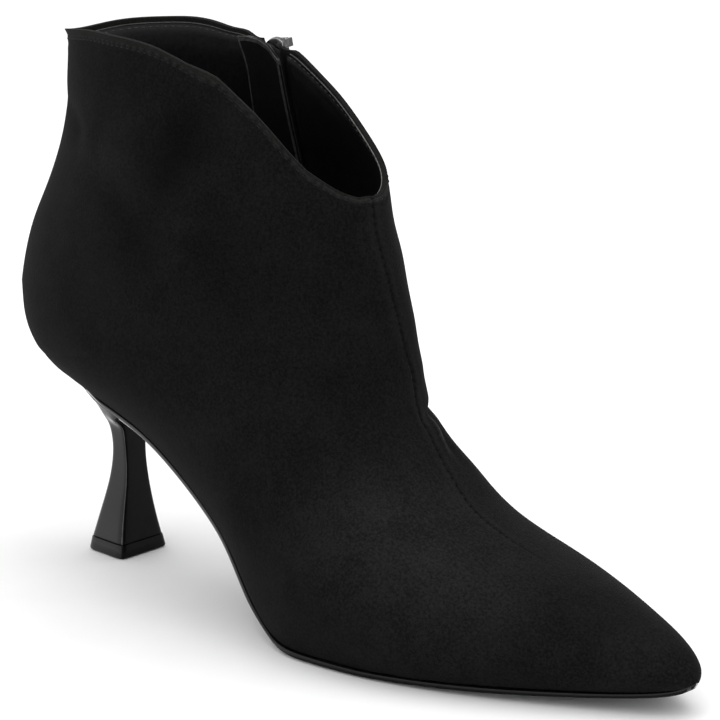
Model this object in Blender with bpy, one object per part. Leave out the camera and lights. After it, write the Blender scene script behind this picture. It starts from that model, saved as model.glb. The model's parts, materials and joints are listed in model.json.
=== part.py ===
"""Heeled ankle boot for the right foot: pointed suede upper, thin sole, flared heel and inner side zip."""
import math

import bmesh
import bpy
import numpy as np
from mathutils import Matrix, Vector

OBJECT_NAME = "heeled_ankle_boot"
MM = 0.001

# Sizes in millimetres. X runs from the back of the heel to the toe, Y from the outer side to the
# inner side, Z up from the floor.
X_CENTRE = 125.00
Y_CENTRE = -4.16
WALL = 2.0
GAP = 0.3
WELT_TOE = 0.4
WELT_FRONT = 0.8
WELT_BACK = 0.3
SOLE_BEVEL = 0.9
INSOLE_THICK = 2.0
SEAT_MIDDLE = 45.0
LIFT_HEIGHT = 3.7
HEEL_BREAST = 58.0
ZIP_SLOT = 5.2
ZIP_TOP_X = 71.4
ZIP_TOP_Z = 160.0
ZIP_LEAN = 0.15
ZIP_HOME_V = 0.480
GUARD_FRONT = -4.0
GUARD_BACK = 13.0
GUARD_THICK = 1.2
SLIDER_T = 0.945
SLIDER_HALF = 3.6
SLIDER_REACH = 5.2
SLIDER_LIFT = 0.3
SLIDER_THICK = 2.0
LUG_NEAR = 1.8
LUG_FAR = 2.7
PIN_HEIGHT = 4.15
PIN_RADIUS = 0.6
PIN_UP = 2.2
PULL_LENGTH = 22.0
PULL_WIDTH = 5.6
PULL_THICK = 1.2

# The last, one row per section from the toe tip to above the collar.
# instep_x, instep_z: the section's upper end; base_x, base_z: its lower end on the feather line;
# lateral, medial: half widths at the belly; belly: height share of the widest place;
# feather_l, feather_m: half widths at the base; middle: sideways shift of the section;
# bow: fullness below the belly; crest: fullness above it.
LAST_COLUMNS = ("instep_x", "instep_z", "base_x", "base_z", "lateral", "medial", "belly",
                "feather_l", "feather_m", "middle", "bow", "crest")
LAST_ROWS = (
    (249.4, 11.0, 249.4, 10.7, 0.1, 0.1, 0.40, 0.1, 0.1, 1.3, 1.00, 2.00),
    (247.2, 14.9, 246.8, 9.0, 5.0, 4.5, 0.40, 3.6, 3.5, 2.0, 1.00, 2.00),
    (241.7, 18.5, 240.9, 7.7, 9.4, 8.4, 0.40, 7.4, 7.3, 2.4, 1.00, 2.00),
    (229.7, 23.0, 228.8, 6.3, 16.2, 14.7, 0.40, 13.4, 13.3, 2.2, 1.00, 2.00),
    (211.6, 28.5, 211.2, 5.0, 25.5, 22.9, 0.40, 21.6, 21.0, 1.8, 1.00, 2.00),
    (191.6, 34.4, 190.0, 3.9, 34.3, 29.6, 0.40, 29.9, 27.4, 1.0, 1.00, 2.00),
    (173.9, 41.6, 164.7, 3.1, 40.2, 32.1, 0.40, 35.6, 30.0, -0.3, 1.00, 2.00),
    (162.2, 51.9, 139.2, 3.1, 41.5, 30.8, 0.40, 37.0, 27.4, -0.7, 1.00, 2.00),
    (152.9, 62.5, 117.7, 8.7, 38.8, 28.3, 0.39, 30.8, 21.1, -0.6, 1.00, 1.95),
    (146.9, 71.3, 95.5, 27.4, 36.7, 27.4, 0.39, 24.6, 18.1, 0.0, 1.00, 1.90),
    (145.0, 81.1, 66.7, 46.0, 35.9, 28.6, 0.40, 22.4, 19.6, 0.3, 1.00, 1.90),
    (144.2, 89.4, 39.9, 55.0, 35.9, 30.2, 0.40, 21.0, 20.2, 0.2, 0.98, 1.90),
    (142.8, 99.6, 9.8, 60.6, 35.9, 32.4, 0.42, 0.0, 0.0, 0.0, 0.43, 1.88),
    (140.8, 108.2, 0.0, 75.0, 35.1, 33.8, 0.45, 0.0, 0.0, 0.0, 0.46, 1.85),
    (137.5, 116.6, 1.9, 96.0, 33.5, 33.0, 0.48, 0.0, 0.0, 0.0, 0.50, 1.80),
    (135.3, 125.2, 12.2, 118.6, 31.2, 31.2, 0.50, 0.0, 0.0, 0.0, 0.50, 1.70),
    (133.7, 134.9, 18.3, 141.1, 28.4, 28.4, 0.50, 0.0, 0.0, 0.0, 0.50, 1.55),
    (131.2, 146.2, 18.0, 164.6, 26.5, 26.5, 0.50, 0.0, 0.0, 0.0, 0.50, 1.45),
    (128.1, 158.0, 16.8, 188.2, 25.5, 25.5, 0.50, 0.0, 0.0, 0.0, 0.50, 1.45),
)
LAST = np.array(LAST_ROWS)
SEAT_ROW = 11.0
RING_ROW = 12.0
SEAT_ROUND = 2.3
BACK_STEPS = (0.0, 0.25, 0.45, 0.62, 0.76, 0.87, 0.945, 0.985)

# The collar line: share of the way round from the front seam, and the last's row it is cut at
# on the outer and on the inner side.
COLLAR_SHARE = (0.0, 0.12, 0.26, 0.42, 0.62, 0.82, 1.0)
COLLAR_OUTER = (15.00, 15.52, 16.50, 17.36, 17.28, 16.94, 16.77)
COLLAR_INNER = (15.00, 15.54, 16.22, 17.12, 17.14, 16.93, 16.77)

# Thickness of the sole along the last's rows.
SOLE_ROW = (0.0, 3.0, 5.0, 6.0, 7.0, 8.0, 10.0, 12.0)
SOLE_THICK = (2.2, 2.5, 2.7, 2.8, 2.8, 2.5, 2.2, 2.0)

# The heel, one row per ring from the floor to the seat.
# share: height as a share of the seat's; front, back: x of the breast and of the back;
# front_w, back_w: half widths there; square: fullness of the back corners.
HEEL_COLUMNS = ("share", "front", "back", "front_w", "back_w", "square")
HEEL_ROWS = (
    (0.000, 40.5, 25.3, 9.1, 7.9, 8.0),
    (0.060, 40.0, 26.1, 8.4, 7.3, 8.0),
    (0.160, 39.4, 27.4, 7.3, 6.4, 7.5),
    (0.280, 39.0, 29.0, 6.0, 5.3, 7.0),
    (0.400, 38.7, 30.4, 4.9, 4.4, 6.5),
    (0.520, 38.3, 31.2, 4.4, 4.0, 6.0),
    (0.620, 38.0, 31.4, 4.5, 4.2, 5.5),
    (0.710, 38.1, 30.8, 5.1, 4.9, 5.0),
    (0.790, 39.0, 29.0, 6.5, 6.5, 4.4),
    (0.860, 41.8, 25.4, 9.2, 9.6, 3.6),
    (0.920, 46.4, 20.0, 13.2, 13.8, 3.0),
    (0.970, 52.6, 14.4, 17.4, 18.0, 2.6),
    (1.000, HEEL_BREAST, 11.0, 20.0, 20.0, 2.4),
)


def blend(table, u):
    """Rows of a table at fractional row numbers, joined by smooth curves that never overshoot a row."""
    u = np.atleast_1d(np.asarray(u, float))
    rise = np.diff(table, axis=0)
    before = rise[:-1]
    after = rise[1:]
    slope = np.zeros_like(table)
    slope[0] = rise[0]
    slope[-1] = rise[-1]
    limit = 3.0 * np.minimum(np.abs(before), np.abs(after))
    middle = 0.5 * (before + after)
    middle = np.sign(middle) * np.minimum(np.abs(middle), limit)
    slope[1:-1] = np.where(before * after > 0.0, middle, 0.0)
    i = np.clip(np.floor(u).astype(int), 0, len(table) - 2)
    t = (u - i)[:, None]
    rest = 1.0 - t
    ends = table[i] * (1.0 + 2.0 * t) * rest * rest + table[i + 1] * t * t * (3.0 - 2.0 * t)
    return ends + slope[i] * t * rest * rest - slope[i + 1] * t * t * rest


def last_row(u):
    """Named columns of the last at row numbers u; the feather line rounds off behind the seat's row."""
    u = np.atleast_1d(np.asarray(u, float))
    row = dict(zip(LAST_COLUMNS, blend(LAST, u).T))
    share = np.clip((u - SEAT_ROW) / (RING_ROW - SEAT_ROW), 0.0, 1.0)
    round_off = (1.0 - share ** SEAT_ROUND) ** (1.0 / SEAT_ROUND)
    seat = dict(zip(LAST_COLUMNS, LAST[int(SEAT_ROW)]))
    ring = dict(zip(LAST_COLUMNS, LAST[int(RING_ROW)]))
    behind = (u > SEAT_ROW) & (u < RING_ROW)
    for name in ("feather_l", "feather_m", "bow"):
        row[name] = np.where(behind, ring[name] + (seat[name] - ring[name]) * round_off, row[name])
    for name in ("feather_l", "feather_m", "lateral", "medial"):
        row[name] = np.maximum(row[name], 0.0)
    return row


def skin(u, v):
    """Outer surface of the upper: v is -1 at the outer base, 0 at the front seam, 1 at the inner base."""
    u, v = np.broadcast_arrays(np.atleast_1d(np.asarray(u, float)), np.atleast_1d(np.asarray(v, float)))
    row = last_row(u)
    outer = v < 0.0
    width = np.where(outer, row["lateral"], row["medial"])
    feather = np.where(outer, row["feather_l"], row["feather_m"])
    angle = np.abs(v) * math.pi
    cos = np.clip(np.cos(angle), 0.0, 1.0)
    rise_top = row["belly"] + (1.0 - row["belly"]) * cos
    half_top = width * np.sqrt(np.clip(1.0 - cos ** row["crest"], 0.0, 1.0))
    turn = np.clip(angle - math.pi / 2.0, 0.0, math.pi / 2.0)
    drop = np.sin(turn)
    rise_low = row["belly"] * (1.0 - drop)
    half_low = feather + (width - feather) * np.clip(1.0 - drop * drop, 0.0, 1.0) ** row["bow"]
    above = angle <= math.pi / 2.0
    rise = np.where(above, rise_top, rise_low)
    half = np.where(above, half_top, half_low)
    side = np.where(outer, -1.0, 1.0)
    x = row["base_x"] + rise * (row["instep_x"] - row["base_x"])
    z = row["base_z"] + rise * (row["instep_z"] - row["base_z"])
    return np.stack([x, row["middle"] + side * half, z], -1)


def skin_normal(u, v):
    """Outward unit normals of the skin."""
    u, v = np.broadcast_arrays(np.atleast_1d(np.asarray(u, float)), np.atleast_1d(np.asarray(v, float)))
    du = 0.02
    dv = 0.004
    low = np.clip(v - dv, -1.0, 1.0)
    high = np.clip(v + dv, -1.0, 1.0)
    along = skin(u + du, v) - skin(np.maximum(u - du, 0.0), v)
    around = skin(u, high) - skin(u, low)
    normal = np.cross(around, along)
    seam = (np.abs(v) > 0.999) & (u >= RING_ROW)
    normal[seam, 1] = 0.0
    return normal / np.maximum(np.linalg.norm(normal, axis=1), 1e-9)[:, None]


def wall_direction(u, v, points):
    """Direction the wall's thickness is measured along: the normal, level round the back of the seat."""
    level = points - np.array([SEAT_MIDDLE, 0.0, 0.0])
    level[:, 2] = 0.0
    level /= np.maximum(np.linalg.norm(level, axis=1), 1e-9)[:, None]
    share = np.interp(u, (11.4, 11.8, 12.1, 12.8), (0.0, 1.0, 1.0, 0.0))
    share = share * np.interp(np.abs(v), (0.60, 0.80), (0.0, 1.0))
    both = skin_normal(u, v) * (1.0 - share)[:, None] + level * share[:, None]
    return both / np.linalg.norm(both, axis=1)[:, None]


def collar_side(share, rows):
    """Smooth curve through one side's collar rows."""
    knots = np.array(COLLAR_SHARE)
    rows = np.array(rows)
    slope = np.gradient(rows, knots)
    slope[0] = 0.0
    slope[-1] = 0.0
    k = np.clip(np.searchsorted(knots, share, side="right") - 1, 0, len(knots) - 2)
    step = knots[k + 1] - knots[k]
    t = (share - knots[k]) / step
    ends = rows[k] * (1.0 + 2.0 * t) * (1.0 - t) ** 2 + rows[k + 1] * t * t * (3.0 - 2.0 * t)
    return ends + step * (slope[k] * t * (1.0 - t) ** 2 - slope[k + 1] * t * t * (1.0 - t))


def collar_row(v):
    """Row of the last the collar is cut at, by share round from the front seam."""
    v = np.atleast_1d(np.asarray(v, float))
    share = np.abs(v)
    return np.where(v < 0.0, collar_side(share, COLLAR_OUTER), collar_side(share, COLLAR_INNER))


def shaft_row(t, v):
    """Row number in the shaft, from the seat's ring (t = 0) to the collar (t = 1)."""
    return RING_ROW + (collar_row(v) - RING_ROW) * t


def zip_places(steps):
    """Places round the shaft where the zip's line, straight from the side, crosses each step."""
    places = []
    for t in steps:
        front = 0.30
        back = 0.70
        for k in range(30):
            v = 0.5 * (front + back)
            point = skin(shaft_row(t, v), v)[0]
            if point[0] > ZIP_TOP_X + ZIP_LEAN * (ZIP_TOP_Z - point[2]):
                front = v
            else:
                back = v
        places.append(v)
    return np.array(places)


ZIP_STEPS = np.linspace(0.0, 1.0, 23)
ZIP_PLACES = zip_places(ZIP_STEPS)


def zip_v(t):
    """Place of the zip round the shaft, from the slot's foot (t = 0) to the collar (t = 1)."""
    return float(np.interp(t, ZIP_STEPS, ZIP_PLACES))


def column(v, t):
    """Moves the columns of the inner side so that the slot's columns follow the zip."""
    place = zip_v(t)
    front = v * place / ZIP_HOME_V
    back = 1.0 - (1.0 - v) * (1.0 - place) / (1.0 - ZIP_HOME_V)
    return np.where(v <= 0.0, v, np.where(v <= ZIP_HOME_V, front, back))


BASE_U = np.linspace(0.0, RING_ROW, 281)
BASE_X = last_row(BASE_U)["base_x"]
BASE_Z = last_row(BASE_U)["base_z"]


def base_height(x):
    """Height of the feather line over the floor at x."""
    return np.interp(x, BASE_X[::-1], BASE_Z[::-1])


def feather(u, side, inset):
    """Feather line of one side (-1 outer, 1 inner), moved inward in plan by inset."""
    def line(w):
        row = last_row(w)
        half = row["feather_l"] if side < 0 else row["feather_m"]
        return np.stack([row["base_x"], row["middle"] + side * half], -1)
    u = np.atleast_1d(np.asarray(u, float))
    step = line(np.minimum(u + 0.05, RING_ROW)) - line(np.maximum(u - 0.05, 0.0))
    step /= np.linalg.norm(step, axis=1)[:, None]
    inward = np.stack([step[:, 1], -step[:, 0]], -1) * (-side)
    return line(u) + inward * np.atleast_1d(inset)[:, None]


def outline(stations, inset):
    """Both sides of a plate's outline and its two end points, in plan."""
    inset = np.broadcast_to(inset, np.shape(stations))
    outer = feather(stations, -1, inset)
    inner = feather(stations, 1, inset)
    toe_row = last_row([0.0])
    toe = np.array([toe_row["base_x"][0] - 1.25 * inset[0], toe_row["middle"][0]])
    back = np.array([last_row([RING_ROW])["base_x"][0] + inset[-1], 0.0])
    return outer, inner, toe, back


def world(points):
    """Millimetres of the boot to metres of the scene, origin under the middle of its box."""
    points = np.asarray(points, float)
    return (points - np.array([X_CENTRE, Y_CENTRE, 0.0])) * MM


def material(name, colour, roughness, metallic=0.0):
    mat = bpy.data.materials.new(name)
    mat.use_nodes = True
    shader = mat.node_tree.nodes["Principled BSDF"]
    shader.inputs["Base Color"].default_value = (*colour, 1.0)
    shader.inputs["Roughness"].default_value = roughness
    shader.inputs["Metallic"].default_value = metallic
    mat.diffuse_color = (*colour, 1.0)
    return mat


def finish_mesh(bm, name, mat, parts, smooth=True):
    """Turns a bmesh into a named object with outward faces."""
    bmesh.ops.recalc_face_normals(bm, faces=bm.faces)
    mesh = bpy.data.meshes.new(name)
    bm.to_mesh(mesh)
    bm.free()
    mesh.materials.append(mat)
    for polygon in mesh.polygons:
        polygon.use_smooth = smooth
    obj = bpy.data.objects.new(name, mesh)
    parts.objects.link(obj)
    return obj


def add_face(bm, corners):
    """Adds a face, leaving out corners that repeat."""
    kept = []
    for corner in corners:
        if corner not in kept:
            kept.append(corner)
    if len(kept) > 2:
        bm.faces.new(kept)


def add_points(bm, points):
    return [bm.verts.new(p) for p in world(points)]


def loft(bm, rings, closed, cap):
    """Faces between rings of equal count; caps close the first and last ring."""
    rows = [add_points(bm, ring) for ring in rings]
    count = len(rows[0])
    last = count if closed else count - 1
    for a, b in zip(rows[:-1], rows[1:]):
        for i in range(last):
            j = (i + 1) % count
            add_face(bm, (a[i], b[i], b[j], a[j]))
    if cap:
        bm.faces.new(rows[0])
        bm.faces.new(rows[-1])
    return rows


def rung_cap(bm, ring):
    """Closes a ring that is the same on both sides of its middle by strips across it."""
    count = len(ring)
    for k in range(count // 2 - 1):
        add_face(bm, (ring[k], ring[k + 1], ring[count - k - 2], ring[count - k - 1]))


def build_upper(mat, parts):
    """Hollow upper: outer and inner skins, joined at the feather edge, the collar and the zip's slot."""
    half_slot = 0.5 * ZIP_SLOT / 178.0
    side = [0.05, 0.11, 0.18, 0.25, 0.32, 0.39]
    low = [0.545, 0.60, 0.66, 0.72, 0.79, 0.86, 0.93, 1.0]
    outer_cols = [-v for v in reversed(side + [0.47] + low)]
    inner_cols = side + [0.44, ZIP_HOME_V - half_slot, ZIP_HOME_V + half_slot] + low
    cols = np.array(outer_cols + [0.0] + inner_cols)
    slot = int(np.argmin(np.abs(cols - (ZIP_HOME_V - half_slot))))
    stations = [0.0, 0.3, 0.6] + [1.0 + 0.5 * k for k in range(10)] + [6.0 + k / 3.0 for k in range(15)]
    stations = stations + [SEAT_ROW + t for t in BACK_STEPS] + [RING_ROW]
    ring = len(stations) - 1
    shaft = [k / 11.0 for k in range(1, 12)]

    rows_u = [np.full(len(cols), u) for u in stations]
    rows_v = [column(cols, 0.0) for u in stations]
    for t in shaft:
        v = column(cols, t)
        rows_v.append(v)
        rows_u.append(shaft_row(t, v))

    bm = bmesh.new()
    outer = []
    inner = []
    for j, (u, v) in enumerate(zip(rows_u, rows_v)):
        points = skin(u, v)
        under = points - WALL * wall_direction(u, v, points)
        if j == 0:
            outer.append([add_points(bm, points[:1])[0]] * len(cols))
            tip = np.array([points[0, 0] - 1.4 * WALL, points[0, 1], 0.0])
            tip[2] = base_height(tip[0])
            inner.append([add_points(bm, [tip])[0]] * len(cols))
            continue
        if j < ring:
            for end, sign in ((0, -1), (-1, 1)):
                plan = feather(u[:1], sign, WALL)[0]
                under[end] = (plan[0], plan[1], base_height(plan[0]))
        if j == ring:
            under[0] = points[0] + np.array([WALL, 0.0, 0.0])
            under[0, 2] = base_height(under[0, 0])
        closed = j >= ring
        outer.append(add_points(bm, points[:-1] if closed else points))
        if j < 3:
            inner.append(inner[0])
        else:
            inner.append(add_points(bm, under[:-1] if closed else under))
        if closed:
            outer[-1].append(outer[-1][0])
            inner[-1].append(inner[-1][0])

    count = len(cols)
    for j in range(len(outer) - 1):
        for i in range(count - 1):
            if i == slot and j >= ring:
                continue
            add_face(bm, (outer[j][i], outer[j + 1][i], outer[j + 1][i + 1], outer[j][i + 1]))
            add_face(bm, (inner[j][i], inner[j][i + 1], inner[j + 1][i + 1], inner[j + 1][i]))
        if j < ring:
            for end in (0, -1):
                add_face(bm, (outer[j][end], outer[j + 1][end], inner[j + 1][end], inner[j][end]))
        else:
            for end in (slot, slot + 1):
                add_face(bm, (outer[j][end], outer[j + 1][end], inner[j + 1][end], inner[j][end]))
    for i in range(count - 1):
        if i != slot:
            add_face(bm, (outer[-1][i], outer[-1][i + 1], inner[-1][i + 1], inner[-1][i]))
    add_face(bm, (outer[ring][slot], outer[ring][slot + 1], inner[ring][slot + 1], inner[ring][slot]))
    return finish_mesh(bm, "upper", mat, parts)


def sole_thickness(x):
    """Thickness of the sole at x."""
    u = np.interp(-x, -BASE_X, BASE_U)
    return np.interp(u, SOLE_ROW, SOLE_THICK)


def sole_top(x):
    return float(base_height(x)) - GAP


def sole_bottom(x):
    return max(sole_top(x) - float(sole_thickness(x)), 0.0)


def build_outsole(mat, parts):
    """Thin sole from the toe to the back of the seat, with a bevelled lower edge."""
    toe = [0.25, 0.55, 1.0, 1.5] + [2.0 + 0.5 * k for k in range(8)]
    waist = [6.0 + k / 6.0 for k in range(30)]
    stations = np.array(toe + waist + [SEAT_ROW + t for t in BACK_STEPS])
    reach = np.interp(stations, (0.0, 3.0, 7.0, 9.0), (WELT_TOE, WELT_FRONT, WELT_FRONT, WELT_BACK))
    bm = bmesh.new()

    def edge(x):
        return sole_top(x) - 0.55 * (sole_top(x) - sole_bottom(x))
    levels = ((-reach, sole_top), (-reach, edge), (SOLE_BEVEL - reach, sole_bottom))
    rings = []
    for inset, height in levels:
        outer, inner, toe, back = outline(stations, inset)
        plan = [toe] + list(outer) + [back] + list(inner[::-1])
        rings.append([(p[0], p[1], height(p[0])) for p in plan])
    rows = [add_points(bm, ring) for ring in rings]
    close_plate(bm, rows, len(stations))
    return finish_mesh(bm, "outsole", mat, parts, smooth=False)


def close_plate(bm, rows, n):
    """Side walls between the plate's outlines, and rungs across its top and bottom."""
    count = len(rows[0])
    for a, b in zip(rows[:-1], rows[1:]):
        for i in range(count):
            j = (i + 1) % count
            add_face(bm, (a[i], b[i], b[j], a[j]))
    for row in (rows[0], rows[-1]):
        add_face(bm, (row[0], row[1], row[-1]))
        for k in range(1, n):
            add_face(bm, (row[k], row[k + 1], row[count - k - 1], row[count - k]))
        add_face(bm, (row[n], row[n + 1], row[n + 2]))


def build_insole(mat, parts):
    """Board the foot stands on, inside the upper's lower edge."""
    toe = [1.2, 1.6] + [2.0 + 0.5 * k for k in range(8)]
    waist = [6.0 + k / 3.0 for k in range(15)]
    stations = np.array(toe + waist + [SEAT_ROW + t for t in BACK_STEPS])
    bm = bmesh.new()
    inset = WALL + GAP + np.interp(stations, (10.5, 11.5), (0.1, 0.9))
    outer, inner, toe, back = outline(stations, inset)
    toe[0] = toe[0] - 1.6
    plan = [toe] + list(outer) + [back] + list(inner[::-1])
    top = [(p[0], p[1], float(base_height(p[0])) + INSOLE_THICK) for p in plan]
    low = [(p[0], p[1], float(base_height(p[0]))) for p in plan]
    rows = [add_points(bm, ring) for ring in (top, low)]
    close_plate(bm, rows, len(stations))
    return finish_mesh(bm, "insole", mat, parts, smooth=False)


def heel_ring(values, count=32):
    """Plan outline of one ring of the heel: square breast, back corners by their fullness."""
    row = dict(zip(HEEL_COLUMNS, values))
    centre = 0.5 * (row["front"] + row["back"])
    half = 0.5 * (row["front"] - row["back"])
    points = []
    for k in range(count):
        angle = 2.0 * math.pi * (k + 0.5) / count
        c = math.cos(angle)
        s = math.sin(angle)
        power = 9.0 if c > 0.0 else row["square"]
        reach = math.copysign(abs(c) ** (2.0 / power), c)
        across = math.copysign(abs(s) ** (2.0 / power), s)
        width = row["back_w"] + (row["front_w"] - row["back_w"]) * 0.5 * (1.0 + reach)
        points.append((centre + half * reach, width * across))
    return points


def heel_under(x):
    """Underside of the sole where the heel's top meets it."""
    return sole_bottom(x) - GAP


def build_heel(mat, parts):
    """Flared heel: rings lean from level at the floor to the slope of the seat."""
    start = LIFT_HEIGHT + GAP
    table = np.array(HEEL_ROWS)
    steps = [0.0, 1.0, 2.0, 3.0, 4.0, 5.0, 6.0, 7.0, 7.5, 8.0, 8.5, 9.0, 9.5, 10.0, 10.5, 11.0, 12.0]
    rings = []
    for step in steps:
        values = blend(table, [step])[0]
        values[5] = max(values[5], 2.2)
        share = values[0]
        ring = []
        for x, y in heel_ring(values):
            ring.append((x, y, start + share * (heel_under(x) - start)))
        rings.append(ring)
    bm = bmesh.new()
    rows = loft(bm, rings, True, False)
    rung_cap(bm, rows[0])
    rung_cap(bm, rows[-1])
    return finish_mesh(bm, "heel", mat, parts)


def build_top_lift(mat, parts):
    """Wearing piece under the heel."""
    base = heel_ring(np.array(HEEL_ROWS[0]))
    cx = 0.5 * (HEEL_ROWS[0][1] + HEEL_ROWS[0][2])
    rings = []
    for grow, z in ((1.00, 0.0), (1.035, 0.5), (1.02, LIFT_HEIGHT)):
        rings.append([(cx + (x - cx) * grow, y * grow, z) for x, y in base])
    bm = bmesh.new()
    loft(bm, rings, True, True)
    return finish_mesh(bm, "top_lift", mat, parts, smooth=False)


def zip_frame(t):
    """Point on the zip's line with its outward normal, upward and backward directions."""
    v = zip_v(t)
    u = shaft_row(t, v)
    point = skin(u, v)[0]
    normal = skin_normal(u, v)[0]
    low = t - 0.05
    up = point - skin(shaft_row(low, zip_v(low)), zip_v(low))[0]
    up = up - normal * np.dot(up, normal)
    up /= np.linalg.norm(up)
    backward = np.cross(up, normal)
    return point, normal, up, backward


def wall_strip(bm, levels, section):
    """Strip along the zip: section rows are (distance toward the back, depth below the skin)."""
    rings = []
    for t in levels:
        v0 = zip_v(t)
        u0 = shaft_row(t, v0)
        pace = np.linalg.norm(skin(u0, v0 + 0.01) - skin(u0, v0 - 0.01)) / 0.02
        ring = []
        for back, depth in section:
            v = v0 + back / pace
            u = RING_ROW + (float(collar_row(v0)[0]) - RING_ROW) * t
            ring.append((skin(u, v) - depth * skin_normal(u, v))[0])
        rings.append(ring)
    loft(bm, rings, True, True)


def build_zip_tape(mat, parts):
    """Closed zip in the slot: flat tape with the coil's ridge along its middle."""
    edge = 0.5 * ZIP_SLOT - 0.35
    coil = ((-1.2, 1.0), (-0.9, 0.35), (0.0, 0.2), (0.9, 0.35), (1.2, 1.0))
    section = ((-edge, 1.0),) + coil + ((edge, 1.0), (edge, 1.8), (-edge, 1.8))
    levels = [0.012 + (0.985 - 0.012) * k / 14.0 for k in range(15)]
    bm = bmesh.new()
    wall_strip(bm, levels, section)
    return finish_mesh(bm, "zip_tape", mat, parts, smooth=False)


def build_zip_guard(mat, parts):
    """Flap behind the zip, lying on the inside of the wall."""
    top = WALL + GAP
    low = top + GUARD_THICK
    span = GUARD_BACK - GUARD_FRONT
    face = [(GUARD_FRONT + span * k / 4.0, top) for k in range(5)]
    rear = [(GUARD_FRONT + span * k / 4.0, low) for k in range(4, -1, -1)]
    levels = [0.03 + (0.93 - 0.03) * k / 12.0 for k in range(13)]
    bm = bmesh.new()
    wall_strip(bm, levels, face + rear)
    return finish_mesh(bm, "zip_guard", mat, parts, smooth=False)


def slider_matrix():
    """Scene matrix of the slider: local X backward, local Y up along the zip, local Z out of the wall."""
    point, normal, up, backward = zip_frame(SLIDER_T)
    origin = Vector(world(point))
    matrix = Matrix.Identity(4)
    for k, axis in enumerate((backward, up, normal)):
        for i in range(3):
            matrix[i][k] = float(axis[i])
    matrix.translation = origin
    return matrix


def box(bm, low, high):
    """Box between two corners in millimetres."""
    size = [h - l for l, h in zip(low, high)]
    centre = [0.5 * (h + l) for l, h in zip(low, high)]
    made = bmesh.ops.create_cube(bm, size=1.0)
    bmesh.ops.scale(bm, vec=[s * MM for s in size], verts=made["verts"])
    bmesh.ops.translate(bm, vec=[c * MM for c in centre], verts=made["verts"])
    return made["verts"]


def bevel_all(bm, verts, width):
    edges = {e for v in verts for e in v.link_edges}
    bmesh.ops.bevel(bm, geom=list(edges), offset=width * MM, segments=2, affect="EDGES", profile=0.5)


def cutter_object(bm, name, cutters):
    bmesh.ops.recalc_face_normals(bm, faces=bm.faces)
    mesh = bpy.data.meshes.new(name)
    bm.to_mesh(mesh)
    bm.free()
    obj = bpy.data.objects.new(name, mesh)
    obj.hide_render = True
    obj.display_type = "WIRE"
    cutters.objects.link(obj)
    return obj


def boolean(obj, other, operation):
    mod = obj.modifiers.new(other.name, "BOOLEAN")
    mod.object = other
    mod.operation = operation
    mod.solver = "EXACT"


def cylinder(bm, radius, half, place, segments):
    """Cylinder along local X at a place in millimetres."""
    made = bmesh.ops.create_cone(bm, cap_ends=True, segments=segments, radius1=radius * MM,
                                 radius2=radius * MM, depth=2.0 * half * MM)
    bmesh.ops.rotate(bm, verts=made["verts"], cent=(0, 0, 0), matrix=Matrix.Rotation(math.pi / 2, 3, "Y"))
    bmesh.ops.translate(bm, vec=[c * MM for c in place], verts=made["verts"])


def place_mesh(bm, matrix):
    bmesh.ops.transform(bm, matrix=matrix, verts=bm.verts)


def build_zip_slider(mat, parts, cutters):
    """Slider over the coil: a rounded body, two lugs and the pin the pull hangs on."""
    matrix = slider_matrix()
    bm = bmesh.new()
    low = (-SLIDER_HALF, -SLIDER_REACH, SLIDER_LIFT)
    high = (SLIDER_HALF, SLIDER_REACH, SLIDER_LIFT + SLIDER_THICK)
    verts = box(bm, low, high)
    bevel_all(bm, verts, 0.7)
    place_mesh(bm, matrix)
    body = finish_mesh(bm, "zip_slider", mat, parts, smooth=False)
    for name, start in (("lug_front", -LUG_FAR), ("lug_back", LUG_NEAR)):
        bm = bmesh.new()
        low = (start, PIN_UP - 1.3, 1.5)
        high = (start + LUG_FAR - LUG_NEAR, PIN_UP + 1.3, PIN_HEIGHT + 1.0)
        box(bm, low, high)
        place_mesh(bm, matrix)
        boolean(body, cutter_object(bm, name, cutters), "UNION")
    bm = bmesh.new()
    cylinder(bm, PIN_RADIUS, 2.2, (0.0, PIN_UP, PIN_HEIGHT), 12)
    place_mesh(bm, matrix)
    boolean(body, cutter_object(bm, "pin", cutters), "UNION")
    return body


def build_zip_pull(mat, parts, cutters):
    """Pull tab with an eye round the slider's pin, hanging down the outside of the wall."""
    matrix = slider_matrix()
    pivot = matrix @ Vector((0.0, PIN_UP * MM, PIN_HEIGHT * MM))
    local = matrix.copy()
    local.translation = pivot
    eye = PIN_RADIUS + GAP + 0.6
    half = 0.5 * PULL_WIDTH
    neck = 1.2
    barrel_half = LUG_NEAR - GAP
    bm = bmesh.new()
    side = ((neck, -0.2), (neck, -2.4), (half, -4.4), (half, 1.6 - PULL_LENGTH), (half - 1.6, -PULL_LENGTH))
    plan = side + tuple((-x, y) for x, y in reversed(side))
    low = [bm.verts.new((x * MM, y * MM, -0.5 * PULL_THICK * MM)) for x, y in plan]
    face = bm.faces.new(low)
    grown = bmesh.ops.extrude_face_region(bm, geom=[face])
    top = [g for g in grown["geom"] if isinstance(g, bmesh.types.BMVert)]
    bmesh.ops.translate(bm, vec=(0, 0, PULL_THICK * MM), verts=top)
    pull = finish_mesh(bm, "zip_pull", mat, parts, smooth=False)
    bm = bmesh.new()
    cylinder(bm, eye, barrel_half, (0.0, 0.0, 0.0), 20)
    barrel = cutter_object(bm, "eye_barrel", cutters)
    bm = bmesh.new()
    cylinder(bm, PIN_RADIUS + GAP, barrel_half + 1.0, (0.0, 0.0, 0.0), 20)
    bore = cutter_object(bm, "eye_bore", cutters)
    boolean(pull, barrel, "UNION")
    boolean(pull, bore, "DIFFERENCE")
    for obj in (pull, barrel, bore):
        obj.matrix_world = local
    return pull


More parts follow.
